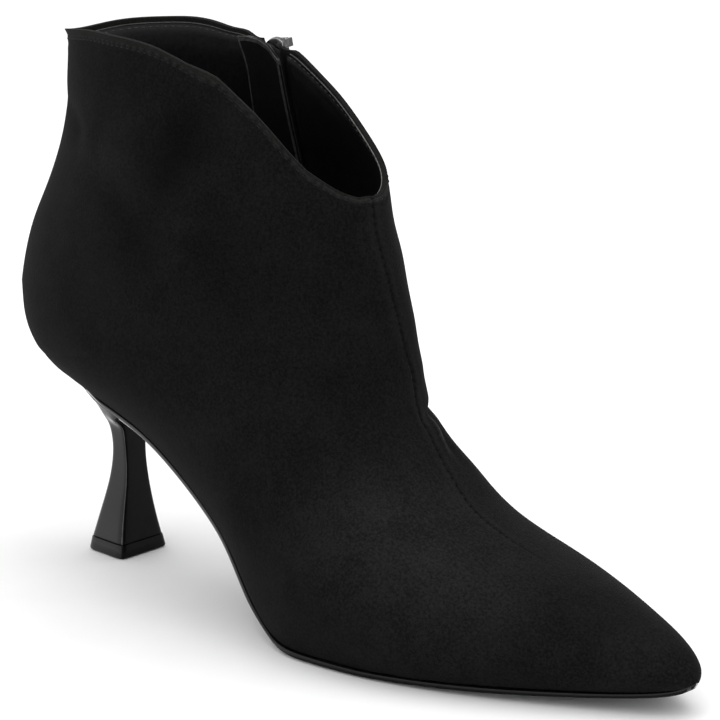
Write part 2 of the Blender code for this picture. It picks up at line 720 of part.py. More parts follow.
def main():
    for obj in list(bpy.data.objects):
        bpy.data.objects.remove(obj, do_unlink=True)
    parts = bpy.data.collections.new(OBJECT_NAME)
    cutters = bpy.data.collections.new("cutters")
    bpy.context.scene.collection.children.link(parts)
    bpy.context.scene.collection.children.link(cutters)

    build_upper(material("suede", (0.011, 0.011, 0.012), 0.90), parts)
    build_outsole(material("sole_edge", (0.012, 0.012, 0.013), 0.30), parts)
    build_heel(material("lacquer", (0.010, 0.010, 0.011), 0.10), parts)
    build_top_lift(material("lift", (0.012, 0.012, 0.013), 0.28), parts)
    build_insole(material("sock", (0.008, 0.008, 0.008), 0.60), parts)
    build_zip_tape(material("zip_fabric", (0.009, 0.009, 0.010), 0.75), parts)
    build_zip_guard(material("guard", (0.008, 0.008, 0.009), 0.65), parts)
    build_zip_slider(material("slider_metal", (0.72, 0.72, 0.73), 0.22, 1.0), parts, cutters)
    build_zip_pull(material("pull_metal", (0.72, 0.72, 0.73), 0.22, 1.0), parts, cutters)


main()
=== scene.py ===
"""Looks of a heeled ankle boot for the right foot: black suede, lacquered heel, glossy sole, inner zip."""
import json
import math

import bmesh
import bpy
import numpy as np
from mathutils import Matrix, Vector
from mathutils.bvhtree import BVHTree
from mathutils.kdtree import KDTree

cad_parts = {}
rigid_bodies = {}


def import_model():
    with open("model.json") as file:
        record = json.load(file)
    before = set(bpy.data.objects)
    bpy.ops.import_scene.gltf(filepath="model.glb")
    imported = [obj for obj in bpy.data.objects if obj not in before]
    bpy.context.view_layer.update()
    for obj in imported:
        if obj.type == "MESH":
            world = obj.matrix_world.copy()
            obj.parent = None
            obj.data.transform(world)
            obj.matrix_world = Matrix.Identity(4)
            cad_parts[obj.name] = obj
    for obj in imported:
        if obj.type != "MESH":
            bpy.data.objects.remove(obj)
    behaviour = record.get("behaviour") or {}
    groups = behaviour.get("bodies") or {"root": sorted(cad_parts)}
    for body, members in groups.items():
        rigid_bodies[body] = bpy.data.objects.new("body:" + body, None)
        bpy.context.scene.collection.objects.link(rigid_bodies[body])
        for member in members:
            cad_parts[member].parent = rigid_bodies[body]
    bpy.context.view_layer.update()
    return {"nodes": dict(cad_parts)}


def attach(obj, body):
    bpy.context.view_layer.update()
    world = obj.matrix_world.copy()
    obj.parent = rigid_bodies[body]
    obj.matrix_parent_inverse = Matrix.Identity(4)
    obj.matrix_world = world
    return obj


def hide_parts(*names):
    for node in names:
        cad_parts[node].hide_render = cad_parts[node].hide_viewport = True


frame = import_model()

MM = 0.001
MERGE = 0.00001
QUAD_ANGLE = math.radians(70.0)
CRISP_ANGLE = math.radians(35.0)
# Boot millimetres: X from the back of the heel to the toe, Y from the outer to the inner side, Z up.
MIDDLE = np.array([125.00, -4.16, 0.0])
BODY = "boot"
PULL_BODY = "pull"

# Camera of the photograph, in boot millimetres and degrees.
VIEW_TARGET = (129.62, 0.0, 77.18)
VIEW_AZIMUTH = 42.14
VIEW_ELEVATION = 15.32
VIEW_DISTANCE = 980.4
VIEW_LENS = 173.24

# The zip's line, straight from the side.
ZIP_TOP_X = 71.4
ZIP_TOP_Z = 160.0
ZIP_LEAN = 0.15

# The front seam from the collar over the throat to the toe: x, y, z.
FRONT_SEAM = (
    (134.6, -1.6, 127.5), (137.5, -2.2, 116.6), (140.8, -2.4, 108.2), (142.8, -2, 99.6),
    (144.2, -1.1, 89.4), (145, 0.3, 81.1), (146.9, 2.4, 71.3), (152.9, 1.6, 62.5),
    (162.2, -0.4, 51.9), (173.9, -1, 41.6), (191.6, -0.2, 34.4), (211.6, 1.2, 28.5),
    (229.7, 2.2, 23), (241.7, 2.3, 18.5),
)
# The back seam from the collar down to the seat.
BACK_SEAM = (
    (18.1, 0, 161), (18.3, 0, 141.1), (12.2, 0, 118.6), (1.9, 0, 96),
    (0, 0, 75), (8, 0, 63),
)

# Folds of the suede: side (-1 outer, 1 inner), line of x and z points, half width, rise (below 0 a trough).
FOLDS = (
    (-1, ((24, 140.5), (36, 137), (46, 130)), 3.2, -1.10),
    (-1, ((20, 147), (40, 146), (58, 140)), 5, 0.45),
    (-1, ((34, 133), (56, 131), (70, 124), (75, 110)), 5.2, 0.85),
    (-1, ((56, 121), (67, 115), (79, 103)), 5, -0.80),
    (-1, ((92, 150), (86, 138), (80, 126), (79, 114)), 5, -0.80),
    (-1, ((103, 138), (91, 123), (86.5, 110), (91, 92)), 5, 0.95),
    (-1, ((109, 124), (98, 112), (97, 98)), 6, -0.50),
    (1, ((24, 140.5), (36, 137), (46, 130)), 3.6, -0.80),
    (1, ((34, 133), (48, 128), (56, 118)), 5.5, 0.60),
    (1, ((103, 130), (96, 116), (97, 100)), 6, 0.60),
    (1, ((118, 118), (108, 106), (106, 94)), 6, -0.50),
    (-1, ((142, 73), (132, 77), (120, 79)), 4.5, -0.45),
    (1, ((142, 74), (132, 77), (120, 78)), 4, -0.50),
)
# Creases at the throat, each along a line in space: x, y, z points, half width, rise.
CREASES = (
    (((148.6, 9.3, 66.5), (150.4, 8.2, 62.8), (152.6, 6.9, 60.2), (155, 5.7, 57.8),
      (160.3, 3.8, 52.6)), 1.2, 0.60),
    (((138, 21, 68.5), (143, 17.4, 66.8), (147.3, 14, 64.6), (151.2, 11.2, 61.5), (156.3, 8, 56.6),
      (161.5, 6.4, 51.4)), 1.7, -0.65),
    (((155, 12.5, 60), (160.5, 12, 53), (167, 12, 46.5)), 3, 0.35),
)
# The near side of the collar, raised or lowered along its sweep: x + 0.9 y, rise.
COLLAR_RISE = (
    (20, 0), (36, 0.6), (46, 1.05), (53, 1.2), (59, 0.95), (65.6, 1.1), (72, 2.3), (77, 3),
    (81, 2.5), (85, 2), (91, 1.3), (97, 0), (103, -1.7), (109.5, -2.9), (115.5, -2.7),
    (122, -2.4), (128, -1.5), (132, 0),
)


def spot(x, y, z):
    """A place in boot millimetres as scene metres."""
    return Vector(((x - MIDDLE[0]) * MM, (y - MIDDLE[1]) * MM, (z - MIDDLE[2]) * MM))


def boot_mm(points):
    """Scene metres as boot millimetres."""
    return np.asarray(points, float) / MM + MIDDLE


def smoothstep(low, high, value):
    """Soft step from 0 at low to 1 at high."""
    t = np.clip((value - low) / (high - low), 0.0, 1.0)
    return t * t * (3.0 - 2.0 * t)


def bell(value, spread):
    """Soft bump: 1 at zero, near 0 past twice the spread."""
    return np.exp(-(value / spread) ** 2)


def profile(away, rows):
    """Sum of bumps across a line: size, distance from the line and spread of each."""
    return sum(size * bell(away - middle, spread) for size, middle, spread in rows)


def soft_spot(points, centre, reach):
    """Bump in space: 1 at its centre, near 0 past twice its reach."""
    away = (points - np.array(centre)) / np.array(reach)
    return np.exp(-(away ** 2).sum(1))


def by_table(value, rows):
    """Amount read from rows of place and amount, straight between them."""
    return np.interp(value, *zip(*rows))


def unit(rows):
    """Vectors brought to length one."""
    return rows / np.linalg.norm(rows, axis=1)[:, None]


def nothing_picked():
    """Object mode with nothing selected."""
    if bpy.context.mode != "OBJECT":
        bpy.ops.object.mode_set(mode="OBJECT")
    bpy.ops.object.select_all(action="DESELECT")


def only(piece):
    """Makes a piece the one selected and active object, in object mode."""
    nothing_picked()
    piece.select_set(True)
    bpy.context.view_layer.objects.active = piece


def open_mesh(piece, select_type):
    """Edit mode on a piece with nothing selected."""
    only(piece)
    bpy.ops.object.mode_set(mode="EDIT")
    bpy.ops.mesh.select_mode(type=select_type)
    bpy.ops.mesh.select_all(action="DESELECT")
    return bmesh.from_edit_mesh(piece.data)


def close_mesh():
    bpy.ops.object.mode_set(mode="OBJECT")


def link_object(name, data):
    """New object in the scene for a mesh, curve, light or camera."""
    made = bpy.data.objects.new(name, data)
    bpy.context.scene.collection.objects.link(made)
    return made


def copy_of(node, name, *finishes):
    """Starts a piece from a CAD node: its mesh copied, corners merged, triangles joined to quads."""
    mesh = frame["nodes"][node].data.copy()
    mesh.name = name
    mesh.materials.clear()
    for mat in finishes:
        mesh.materials.append(mat)
    piece = link_object(name, mesh)
    open_mesh(piece, "EDGE")
    bpy.ops.mesh.select_all(action="SELECT")
    bpy.ops.mesh.customdata_custom_splitnormals_clear()
    bpy.ops.mesh.remove_doubles(threshold=MERGE)
    bpy.ops.mesh.mark_sharp(clear=True)
    bpy.ops.mesh.tris_convert_to_quads(face_threshold=QUAD_ANGLE, shape_threshold=QUAD_ANGLE)
    close_mesh()
    return piece


def height_mm(edge):
    return 0.5 * (edge.verts[0].co.z + edge.verts[1].co.z) / MM


def sharp(degrees, over=-1.0, under=1000.0):
    """Test for edges that turn by more than some degrees, between two heights."""
    def test(edge):
        turned = len(edge.link_faces) == 2 and edge.calc_face_angle() > math.radians(degrees)
        return turned and over < height_mm(edge) < under
    return test


def pick(piece, kind, wanted):
    """Opens the piece and selects the edges or faces that are wanted."""
    bm = open_mesh(piece, kind)
    for part in bm.edges if kind == "EDGE" else bm.faces:
        if wanted(part):
            part.select_set(True)
    bmesh.update_edit_mesh(piece.data)


def bevel_edges(piece, wanted, width, slot=-1):
    """Rounds the wanted edges off in two steps."""
    pick(piece, "EDGE", wanted)
    bpy.ops.mesh.bevel(offset=width * MM, segments=2, clamp_overlap=True, material=slot)
    close_mesh()


def hold_edges(piece, wanted, hold):
    """Edges that the smoothing keeps, from 0 to 1."""
    bm = open_mesh(piece, "EDGE")
    layer = bm.edges.layers.float.get("crease_edge") or bm.edges.layers.float.new("crease_edge")
    for edge in bm.edges:
        if wanted(edge):
            edge[layer] = hold
    bmesh.update_edit_mesh(piece.data)
    close_mesh()


def smooth(piece):
    """Applied subdivision surface of two levels."""
    only(piece)
    mod = piece.modifiers.new("smooth", "SUBSURF")
    mod.levels = 2
    mod.render_levels = 2
    bpy.ops.object.modifier_apply(modifier=mod.name)
    bpy.ops.object.shade_smooth()


def shade_crisp(piece):
    """Smooth shading that keeps the sharper edges."""
    only(piece)
    bpy.ops.object.shade_smooth_by_angle(angle=CRISP_ANGLE)


def assign_finish(piece, slot):
    """Gives the selected faces the finish in a slot, and closes the mesh."""
    piece.active_material_index = slot
    bpy.ops.object.material_slot_assign()
    close_mesh()


def paint_faces(piece, slot, wanted):
    """Gives the wanted faces the finish in a slot."""
    pick(piece, "FACE", wanted)
    assign_finish(piece, slot)


def settle(piece, body, slot, *nodes):
    """Rides a finished piece on its body, in place of the CAD nodes it stands for."""
    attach(piece, body)
    if nodes:
        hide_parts(*nodes)
    return piece


# Finishes


def feed(tree, node, feeds):
    """Sets a node's sockets to plain values, or links outputs into them."""
    for socket, value in feeds.items():
        if isinstance(value, bpy.types.NodeSocket):
            tree.links.new(value, node.inputs[socket])
        else:
            node.inputs[socket].default_value = value


def add_node(tree, kind, feeds=None, **settings):
    made = tree.nodes.new(kind)
    for key, value in settings.items():
        setattr(made, key, value)
    feed(tree, made, feeds or {})
    return made


def calculate(tree, operation, *values, clamp=False):
    """Output of a Math node on values and outputs."""
    feeds = dict(enumerate(values))
    return add_node(tree, "ShaderNodeMath", feeds, operation=operation, use_clamp=clamp).outputs[0]


def map_range(tree, value, low, high, to_low=0.0, to_high=1.0, kind="SMOOTHSTEP"):
    """A value's way from low to high, carried over to another range."""
    feeds = {"Value": value, "From Min": low, "From Max": high, "To Min": to_low, "To Max": to_high}
    return add_node(tree, "ShaderNodeMapRange", feeds, interpolation_type=kind).outputs["Result"]


def mix_colours(tree, factor, under, above, blend="MIX"):
    feeds = {"Factor": factor, "A": under, "B": above}
    return add_node(tree, "ShaderNodeMix", feeds, data_type="RGBA", blend_type=blend).outputs["Result"]


def attribute(tree, name):
    """Output of a value that the mesh stores."""
    return add_node(tree, "ShaderNodeAttribute", attribute_name=name).outputs["Fac"]


def new_group(name, inputs, outputs):
    """Empty node group: inputs with their defaults, None for a place; returns it with its two end nodes."""
    group = bpy.data.node_groups.new(name, "ShaderNodeTree")
    for label, default in inputs.items():
        kind = "NodeSocketVector" if default is None else "NodeSocketFloat"
        socket = group.interface.new_socket(label, in_out="INPUT", socket_type=kind)
        if default is not None:
            socket.default_value = default
    for label in outputs:
        group.interface.new_socket(label, in_out="OUTPUT", socket_type="NodeSocketFloat")
    return group, add_node(group, "NodeGroupInput"), add_node(group, "NodeGroupOutput")


def nap_group():
    """Two sizes of mottling: a fine nap for relief, and a mix of both for the tone."""
    inputs = {"Place": None, "Fine": 1500.0, "Broad": 80.0}
    group, start, end = new_group("brushed_nap", inputs, ("Height", "Tone"))
    feeds = {"Vector": start.outputs["Place"], "Scale": start.outputs["Fine"], "Detail": 4.0,
             "Roughness": 0.65}
    fine = add_node(group, "ShaderNodeTexNoise", feeds).outputs["Fac"]
    feeds = {"Vector": start.outputs["Place"], "Scale": start.outputs["Broad"], "Detail": 5.0,
             "Roughness": 0.62, "Distortion": 0.4}
    broad = add_node(group, "ShaderNodeTexNoise", feeds).outputs["Fac"]
    mix = add_node(group, "ShaderNodeMix", {"Factor": FINE_SHARE, "A": broad, "B": fine}, data_type="FLOAT")
    feed(group, end, {"Height": fine, "Tone": mix.outputs["Result"]})
    return group


def line_group():
    """A soft line round zero of a distance, and dots along it."""
    inputs = {"Across": 9.0, "Along": 0.0, "Width": 0.6, "Pitch": 3.0}
    group, start, end = new_group("seam_line", inputs, ("Line", "Dots"))
    ratio = calculate(group, "DIVIDE", start.outputs["Across"], start.outputs["Width"])
    line = calculate(group, "SUBTRACT", 1.0, calculate(group, "MULTIPLY", ratio, ratio), clamp=True)
    turns = calculate(group, "DIVIDE", start.outputs["Along"], start.outputs["Pitch"])
    wave = calculate(group, "PINGPONG", turns, 0.5)
    dots = calculate(group, "MULTIPLY", map_range(group, wave, 0.22, 0.10), line)
    feed(group, end, {"Line": line, "Dots": dots})
    return group


# Share of the fine nap in the tone.
FINE_SHARE = 0.68
NAP = nap_group()
SEAM_LINE = line_group()


def base_finish(name, roughness, specular=0.5):
    """Material with its Principled shader and Object coordinates."""
    mat = bpy.data.materials.new(name)
    mat.use_nodes = True
    tree = mat.node_tree
    shader = tree.nodes["Principled BSDF"]
    feed(tree, shader, {"Roughness": roughness, "Specular IOR Level": specular})
    return mat, tree, shader, add_node(tree, "ShaderNodeTexCoord").outputs["Object"]


def use_nap(tree, place, fine, broad):
    """The nap in a material, at its own two sizes."""
    return add_node(tree, "ShaderNodeGroup", {"Place": place, "Fine": fine, "Broad": broad}, node_tree=NAP)


def colour_of(tone):
    """A tone in thousandths of white as a colour."""
    return (*(part / 1000.0 for part in tone), 1.0)


def two_tone(tree, value, dark, light, low, high):
    """Colour between two tones as a value goes from low to high."""
    return mix_colours(tree, map_range(tree, value, low, high), colour_of(dark), colour_of(light))


def relief(tree, height, strength, depth):
    """Normal of a bump from a height, depth in millimetres."""
    feeds = {"Strength": strength, "Distance": depth * MM, "Height": height}
    return add_node(tree, "ShaderNodeBump", feeds).outputs["Normal"]


def uneven(tree, value, low, high):
    """Roughness from low to high over the middle of a value's range."""
    return map_range(tree, value, 0.3, 0.7, low, high, "LINEAR")


def grain(tree, shader, place, sizes, tones, bump, rough):
    """Colour, relief and roughness that all follow one nap."""
    nap = use_nap(tree, place, *sizes)
    feed(tree, shader, {"Base Color": two_tone(tree, nap.outputs["Tone"], *tones),
                        "Normal": relief(tree, nap.outputs["Height"], *bump),
                        "Roughness": uneven(tree, nap.outputs["Tone"], *rough)})


# Scales of each finish's fine and broad mottling and of the weave, per metre.
SUEDE_NAP = (1300.0, 62.0)
LEATHER_GRAIN = (900.0, 55.0)
GLOSS_GRAIN = (350.0, 45.0)
METAL_GRAIN = (900.0, 200.0)
WEAVE_SCALES = (("Z", 560.0), ("X", 700.0))
TONE_SPREAD = (0.36, 0.64)
# Tones of the suede's worn edges, also used for the painted highlight along the throat's ridge, and of the
# thread in its seams; the seams' width, pitch and dip.
WEAR_AND_HIGHLIGHT_TONE = (50, 49, 47)
SEAM_TONE = (2.6, 2.6, 2.6)
SEAM_WIDTH = 0.70
SEAM_PITCH = 2.4
SEAM_DIP = -0.4


def suede_finish(name, dark, light, seams):
    """Matte suede: fine nap, brushed mottling, soft sheen, darker stitched seams, paler worn edges; painted
    light and shade over zones and folds, and a painted highlight along the throat's ridge.
    """
    mat, tree, shader, place = base_finish(name, 0.95, 0.04)
    sheen = {"Sheen Weight": 0.02, "Sheen Roughness": 0.45, "Sheen Tint": (0.75, 0.75, 0.78, 1.0)}
    feed(tree, shader, sheen)
    nap = use_nap(tree, place, *SUEDE_NAP)
    colour = two_tone(tree, nap.outputs["Tone"], dark, light, 0.32, 0.68)
    height = nap.outputs["Height"]
    if seams:
        # Painted light and shade: the tone multiplied by the stored zones and fold shading.
        colour = mix_colours(tree, 1.0, colour, attribute(tree, "painted_light_and_shade"), "MULTIPLY")
        # Paler worn edges, and the painted highlight along the throat's ridge.
        colour = mix_colours(tree, attribute(tree, "wear_and_highlight"), colour, colour_of(WEAR_AND_HIGHLIGHT_TONE))
        feeds = {"Across": attribute(tree, "seam_across"), "Along": attribute(tree, "seam_along"),
                 "Width": SEAM_WIDTH, "Pitch": SEAM_PITCH}
        line = add_node(tree, "ShaderNodeGroup", feeds, node_tree=SEAM_LINE)
        colour = mix_colours(tree, line.outputs["Dots"], colour, colour_of(SEAM_TONE))
        height = calculate(tree, "MULTIPLY_ADD", line.outputs["Line"], SEAM_DIP, height)
    feed(tree, shader, {"Base Color": colour, "Normal": relief(tree, height, 0.55, 0.30),
                        "Roughness": uneven(tree, nap.outputs["Tone"], 0.90, 1.0)})
    return mat


def leather_finish(name, dark, light, low, high, depth, specular=0.5):
    """Smooth leather or thread: fine grain, slight gloss."""
    mat, tree, shader, place = base_finish(name, 0.5, specular)
    grain(tree, shader, place, LEATHER_GRAIN, (dark, light, *TONE_SPREAD), (0.35, depth), (low, high))
    return mat


def gloss_finish(name, dark, light, low, high, coat, depth, specular=0.5, polish=""):
    """Lacquer or polished edge: deep black with a clear coat, all over or where a stored value says."""
    mat, tree, shader, place = base_finish(name, low, specular)
    feed(tree, shader, {"Coat Weight": coat, "Coat Roughness": 0.04})
    if polish:
        feed(tree, shader, {"Coat Weight": attribute(tree, polish)})
    grain(tree, shader, place, GLOSS_GRAIN, (dark, light, *TONE_SPREAD), (0.10, depth), (low, high))
    return mat


def metal_finish(name, dark, light, low=0.12, high=0.24):
    """Polished zip metal with fine rubbing marks."""
    mat, tree, shader, place = base_finish(name, 0.2)
    shader.inputs["Metallic"].default_value = 1.0
    grain(tree, shader, place, METAL_GRAIN, (dark, light, 0.35, 0.65), (0.06, 0.02), (low, high))
    return mat


def woven_finish(name, dark, light):
    """Woven tape: fine crossing threads."""
    mat, tree, shader, place = base_finish(name, 0.8, 0.2)
    heights = []
    for direction, scale in WEAVE_SCALES:
        feeds = {"Vector": place, "Scale": scale, "Distortion": 0.3}
        wave = add_node(tree, "ShaderNodeTexWave", feeds, wave_type="BANDS", bands_direction=direction)
        heights.append(wave.outputs["Fac"])
    weave = calculate(tree, "MULTIPLY", *heights)
    feed(tree, shader, {"Base Color": two_tone(tree, weave, dark, light, 0.1, 0.9),
                        "Normal": relief(tree, weave, 0.5, 0.2)})
    return mat


# Every finish has its dark and light tone in thousandths of white, then its roughness from and to.
# Leather goes on with the grain's depth in millimetres and the specular level, gloss with the weight of
# its clear coat, the depth of its unevenness, the specular level and the stored value that sets the coat.
SUEDE = suede_finish("black_suede", (2.6, 2.6, 2.7), (8.8, 8.8, 8.7), True)
TURNED_EDGE = suede_finish("turned_edge", (7, 6.8, 6.5), (15, 14.6, 14), False)
LINING = leather_finish("smooth_lining", (2.5, 2.5, 2.6), (5, 5, 5.1), 0.36, 0.50, 0.10, 0.30)
GUARD = leather_finish("guard_leather", (2.5, 2.5, 2.6), (5, 5, 5.2), 0.55, 0.70, 0.12, 0.10)
# The guard's rounded edges and the lining's back edge are paler: painted highlight.
GUARD_EDGE_HIGHLIGHT = leather_finish("guard_edge_highlight", (20, 19.8, 19), (52, 51, 49), 0.35, 0.55, 0.12)
SOCK = leather_finish("sock_leather", (6, 6, 6.2), (11, 11, 11.2), 0.48, 0.62, 0.15)
LACQUER = gloss_finish("heel_lacquer", (3, 3, 3.3), (4.5, 4.5, 4.8),
                       0.05, 0.09, 0.0, 0.04, 0.34, "polish")
# A dimmer copy of the lacquer, its reflection turned down, for the forward faces: painted shade.
BREAST_PAINTED_SHADE = gloss_finish("heel_breast_shade", (3.5, 3.5, 3.7), (5.5, 5.5, 5.8), 0.14, 0.22, 0.0, 0.05, 0.06)
# A pale copy of the lacquer for the heel's corners: painted highlight.
HEEL_CORNER_HIGHLIGHT = gloss_finish("heel_corner_highlight", (30, 30, 32), (75, 75, 79), 0.10, 0.20, 0.0, 0.05, 0.40)
SOLE_EDGE = gloss_finish("sole_edge", (3, 3, 3.2), (6, 6, 6.2), 0.10, 0.18, 0.6, 0.05, 0.20, "polish")
LIFT = gloss_finish("heel_lift", (3, 3, 3.2), (6, 6, 6.2), 0.10, 0.18, 0.0, 0.06, 0.34)
GRIP = leather_finish("sole_grip", (8, 8, 8.2), (16, 16, 16.2), 0.55, 0.75, 0.35)
# Near-black matte finish for the sole's under edge: painted shade.
SOLE_UNDER_SHADE = leather_finish("sole_under_shade", (2.2, 2.2, 2.3), (4.5, 4.5, 4.6), 0.55, 0.75, 0.15, 0.08)
THREAD = leather_finish("black_thread", (3, 3, 3.1), (9.5, 9.5, 9.8), 0.55, 0.75, 0.06, 0.18)
LINING_THREAD = leather_finish("lining_thread", (9, 9, 9.2), (38, 38, 38.4), 0.45, 0.60, 0.06)
# Pale finishes of the lining's edge: painted highlight, the second dimmer.
LINING_EDGE_HIGHLIGHT = leather_finish("lining_edge_highlight", (70, 69, 66), (250, 247, 240), 0.30, 0.50, 0.10)
LINING_EDGE_DIM_HIGHLIGHT = leather_finish("lining_edge_dim_highlight", (25, 25, 25), (100, 99, 98), 0.30, 0.50, 0.10)
TAPE = woven_finish("zip_weave", (4, 4, 4.2), (14, 14, 14.5))
COIL = gloss_finish("zip_coil", (6, 6, 6.2), (11, 11, 11.2), 0.30, 0.45, 0.1, 0.04)
SLIDER_METAL = metal_finish("slider_metal", (45, 45, 47), (150, 150, 154), 0.32, 0.46)
# A darker copy of the zip metal for the pull: painted shade.
PULL_METAL_SHADE = metal_finish("pull_metal", (30, 30, 31), (75, 75, 78))
# Pale metal on the bevelled edges of slider and pull: painted highlight.
METAL_EDGE_HIGHLIGHT = metal_finish("zip_metal_edge_highlight", (550, 550, 560), (800, 800, 810))


# Upper


SUEDE_SLOT = 0
LINING_SLOT = 1
EDGE_SLOT = 2
# Edges that turn by more than this many degrees part the suede, the lining and the turned edge.
SHARP = 42.0
# Places from which the suede and the lining spread, and heights of the strip over the heel seat.
SUEDE_SEED = (75.0, -60.0, 100.0)
LINING_SEED = (75.0, -28.0, 110.0)
SEAT_STRIP = (62.0, 76.0)
# The turned edge above this height is the rim of the collar and of the zip's slot, and it is bevelled.
# The feather line, where the suede meets the sole, is held against the smoothing.
RIM_LOW = 78.0
RIM_BEVEL = 0.6
FEATHER_HOLD = 0.9
# The wall is thinned from inside near the rim: amounts at two heights, up to a distance, over a spread,
# and in full from this depth under the suede.
RIM_THINNER = ((128.0, 0.35), (148.0, 1.0))
RIM_REACH = 7.0
RIM_SPREAD = 3.5
WALL = 1.8
# From the back seam to the zip, on the inner side, the lining's edge is drawn up to the suede's level.
LEVEL_X = 66.0
LEVEL_RISE = 1.0
LEVEL_SPREAD = 3.0

# Small corrections of the form after the photograph: centre, reach and move, in boot millimetres.
TRIMS = (
    ((135, 4, 131), (13, 14, 11), (0.85, 0.70, 0)),
    ((147, 6, 87), (10, 17, 13), (1.35, 1.15, 0)),
    ((149, 8, 77.5), (8, 14, 6), (0.80, 0.70, 0)),
    ((149, 9, 75.5), (7, 13, 4.5), (0.85, 0.77, 0)),
    ((144, 11, 69.5), (8, 10, 5), (0.55, 0.50, 0)),
    ((147, 13, 63.2), (10, 10, 1.8), (-1.6, -1.45, 0)),
    ((164, 14, 50), (9, 12, 6), (0.55, 0.50, 0.25)),
    ((6, -12, 105), (14, 20, 14), (-0.50, -0.45, 0)),
    ((2, -14, 82), (14, 22, 14), (-0.60, -0.55, 0)),
    ((43, 30, 163), (8, 12, 8), (0, 0, 0.6)),
    ((56, 30, 161), (5, 12, 8), (0, 0, -0.7)),
    ((88, 31, 150), (14, 12, 11), (0, 0, -2)),
    ((78, 31, 157), (4, 12, 6), (0, 0, 1)),
    ((66, 30, 161), (7, 12, 6), (-1.5, 0, -0.4)),
    ((67.5, 30, 162), (3.2, 12, 5), (-0.8, 0, -1.6)),
    ((76.6, 30, 161), (4.4, 12, 6.5), (1.6, 0, -3.4)),
)
HEEL_TRIMS = (
    ((39.5, -7, 43), (6, 6, 2.2), (-1.6, -1.6, 0)),
    ((39.5, 7, 43), (6, 6, 2.2), (-1.6, 1.6, 0)),
)
SOLE_TRIMS = (
    ((249, 0, 8), (7, 14, 10), (-0.8, 0, 0)),
)
# The heel seat, drawn in under the counter towards a middle line: the suede a little, the sole and heel more.
SEAT_MIDDLE_X = 38.0
SUEDE_TUCK = 0.06
SEAT_TUCK = 0.20
SOCK_TUCK = -0.04
SUEDE_LIFT = 0.2
SEAT_LIFT = 0.8
TUCK_X = (46.0, 26.0)
TUCK_TOP = (66.0, 58.5)
TUCK_FOOT = (43.0, 53.0)
SEAT_CENTRE = (45.0, 0.0)
# The turn of the suede over the heel seat is softened up to this X, between these heights, in rounds.
SOFT_X = 46.0
SOFT_Z = (56.0, 82.0)
SOFT_ROUNDS = 22
# At the forefoot the suede and the sole's upper edge sit a little lower, so that less of the edge shows.
FORE_LOW = 0.8
FORE_FROM = (105.0, 130.0)
FORE_REACH = (13.0, 4.0)
# A fold fades over these shares of its length, down to a part of its rise, and past the boot's middle.
FOLD_START = (0.0, 0.28)
FOLD_END = (1.0, 0.70)
FOLD_LEFT = 0.15
FOLD_SIDE = (-1.0, 5.0)
# Small unevenness of the suede between the folds.
DRIFT = 0.14
# A crease fades over these lengths, down to a part of its rise; its core is a part of its width.
CREASE_START = (0.0, 5.0)
CREASE_END = (0.0, 8.0)
CREASE_LEFT = 0.2
CREASE_CORE = 0.45
# The collar's wave: slant of its sweep, fade from the near side to the far, reach below the rim.
COLLAR_SLANT = 0.9
COLLAR_NEAR = (2.0, -5.0)
COLLAR_REACH = 11.0
# Folds and creases fade out at the rim and at the feather line.
CLEAR_RIM = (0.0, 9.0)
CLEAR_FEATHER = (0.3, 7.0)
# Profiles across the seams and below the rim, the wear along rim, feather line and seams, and the painted
# highlight along the throat's ridge.
SEAM_PROFILE = ((0.08, 1.5, 1.0), (-0.24, 0.0, 0.50))
BAND_PROFILE = ((0.10, 1.1, 0.7), (-0.20, 2.2, 0.55))
RIM_WEAR = ((0.30, 0.0, 1.0),)
FEATHER_WEAR = ((0.08, 0.0, 1.2),)
SEAM_WEAR = ((0.04, 1.6, 0.9),)
RIDGE_HIGHLIGHT = 0.55
# The mesh is split near the seams, creases and rim; the seams fade towards the toe.
SEAM_SPLITS = (4.0, 2.2)
CREASE_SPLITS = (3.4, 2.0)
RIM_SPLIT = 4.2
FRONT_X = 70.0
GROOVE_FADE = (205.0, 172.0)
DOT_FADE = (236.0, 215.0)
BACK_FADE = 0.7
# How much paler the nap is painted for each millimetre that a fold rises, and darker in the throat's trough:
# painted light and shade on the folds.
FOLD_PAINTED_LIGHT = 0.30
TROUGH_PAINTED_SHADE = 0.5


def trim(points, rows=TRIMS, draw_in=SEAT_TUCK, lift=SEAT_LIFT):
    """Points moved by the small corrections of the form."""
    moved = points.copy()
    x, y, z = points.T
    tuck = smoothstep(*TUCK_X, x) * smoothstep(*TUCK_TOP, z) * smoothstep(*TUCK_FOOT, z)
    moved[:, 0] += draw_in * (SEAT_MIDDLE_X - x) * tuck
    moved[:, 1] -= draw_in * y * tuck
    moved[:, 2] += lift * tuck
    for centre, reach, move in rows:
        moved += soft_spot(points, centre, reach)[:, None] * np.array(move)
    return moved


def faces_out(face):
    """Whether a face looks away from the middle of the heel seat."""
    place = face.calc_center_median() - spot(*SEAT_CENTRE, 0.0)
    return place.x * face.normal.x + place.y * face.normal.y > 0.0


def flood(piece, slot, aim, facing):
    """Spreads a finish from the face nearest to a place, up to the sharp edges."""
    bm = open_mesh(piece, "FACE")
    able = [face for face in bm.faces if face.normal.y * facing > 0.6]
    seed = min(able, key=lambda face: (face.calc_center_median() - aim).length)
    seed.select_set(True)
    bm.faces.active = seed
    bpy.ops.mesh.select_linked(delimit={"SHARP"})
    assign_finish(piece, slot)


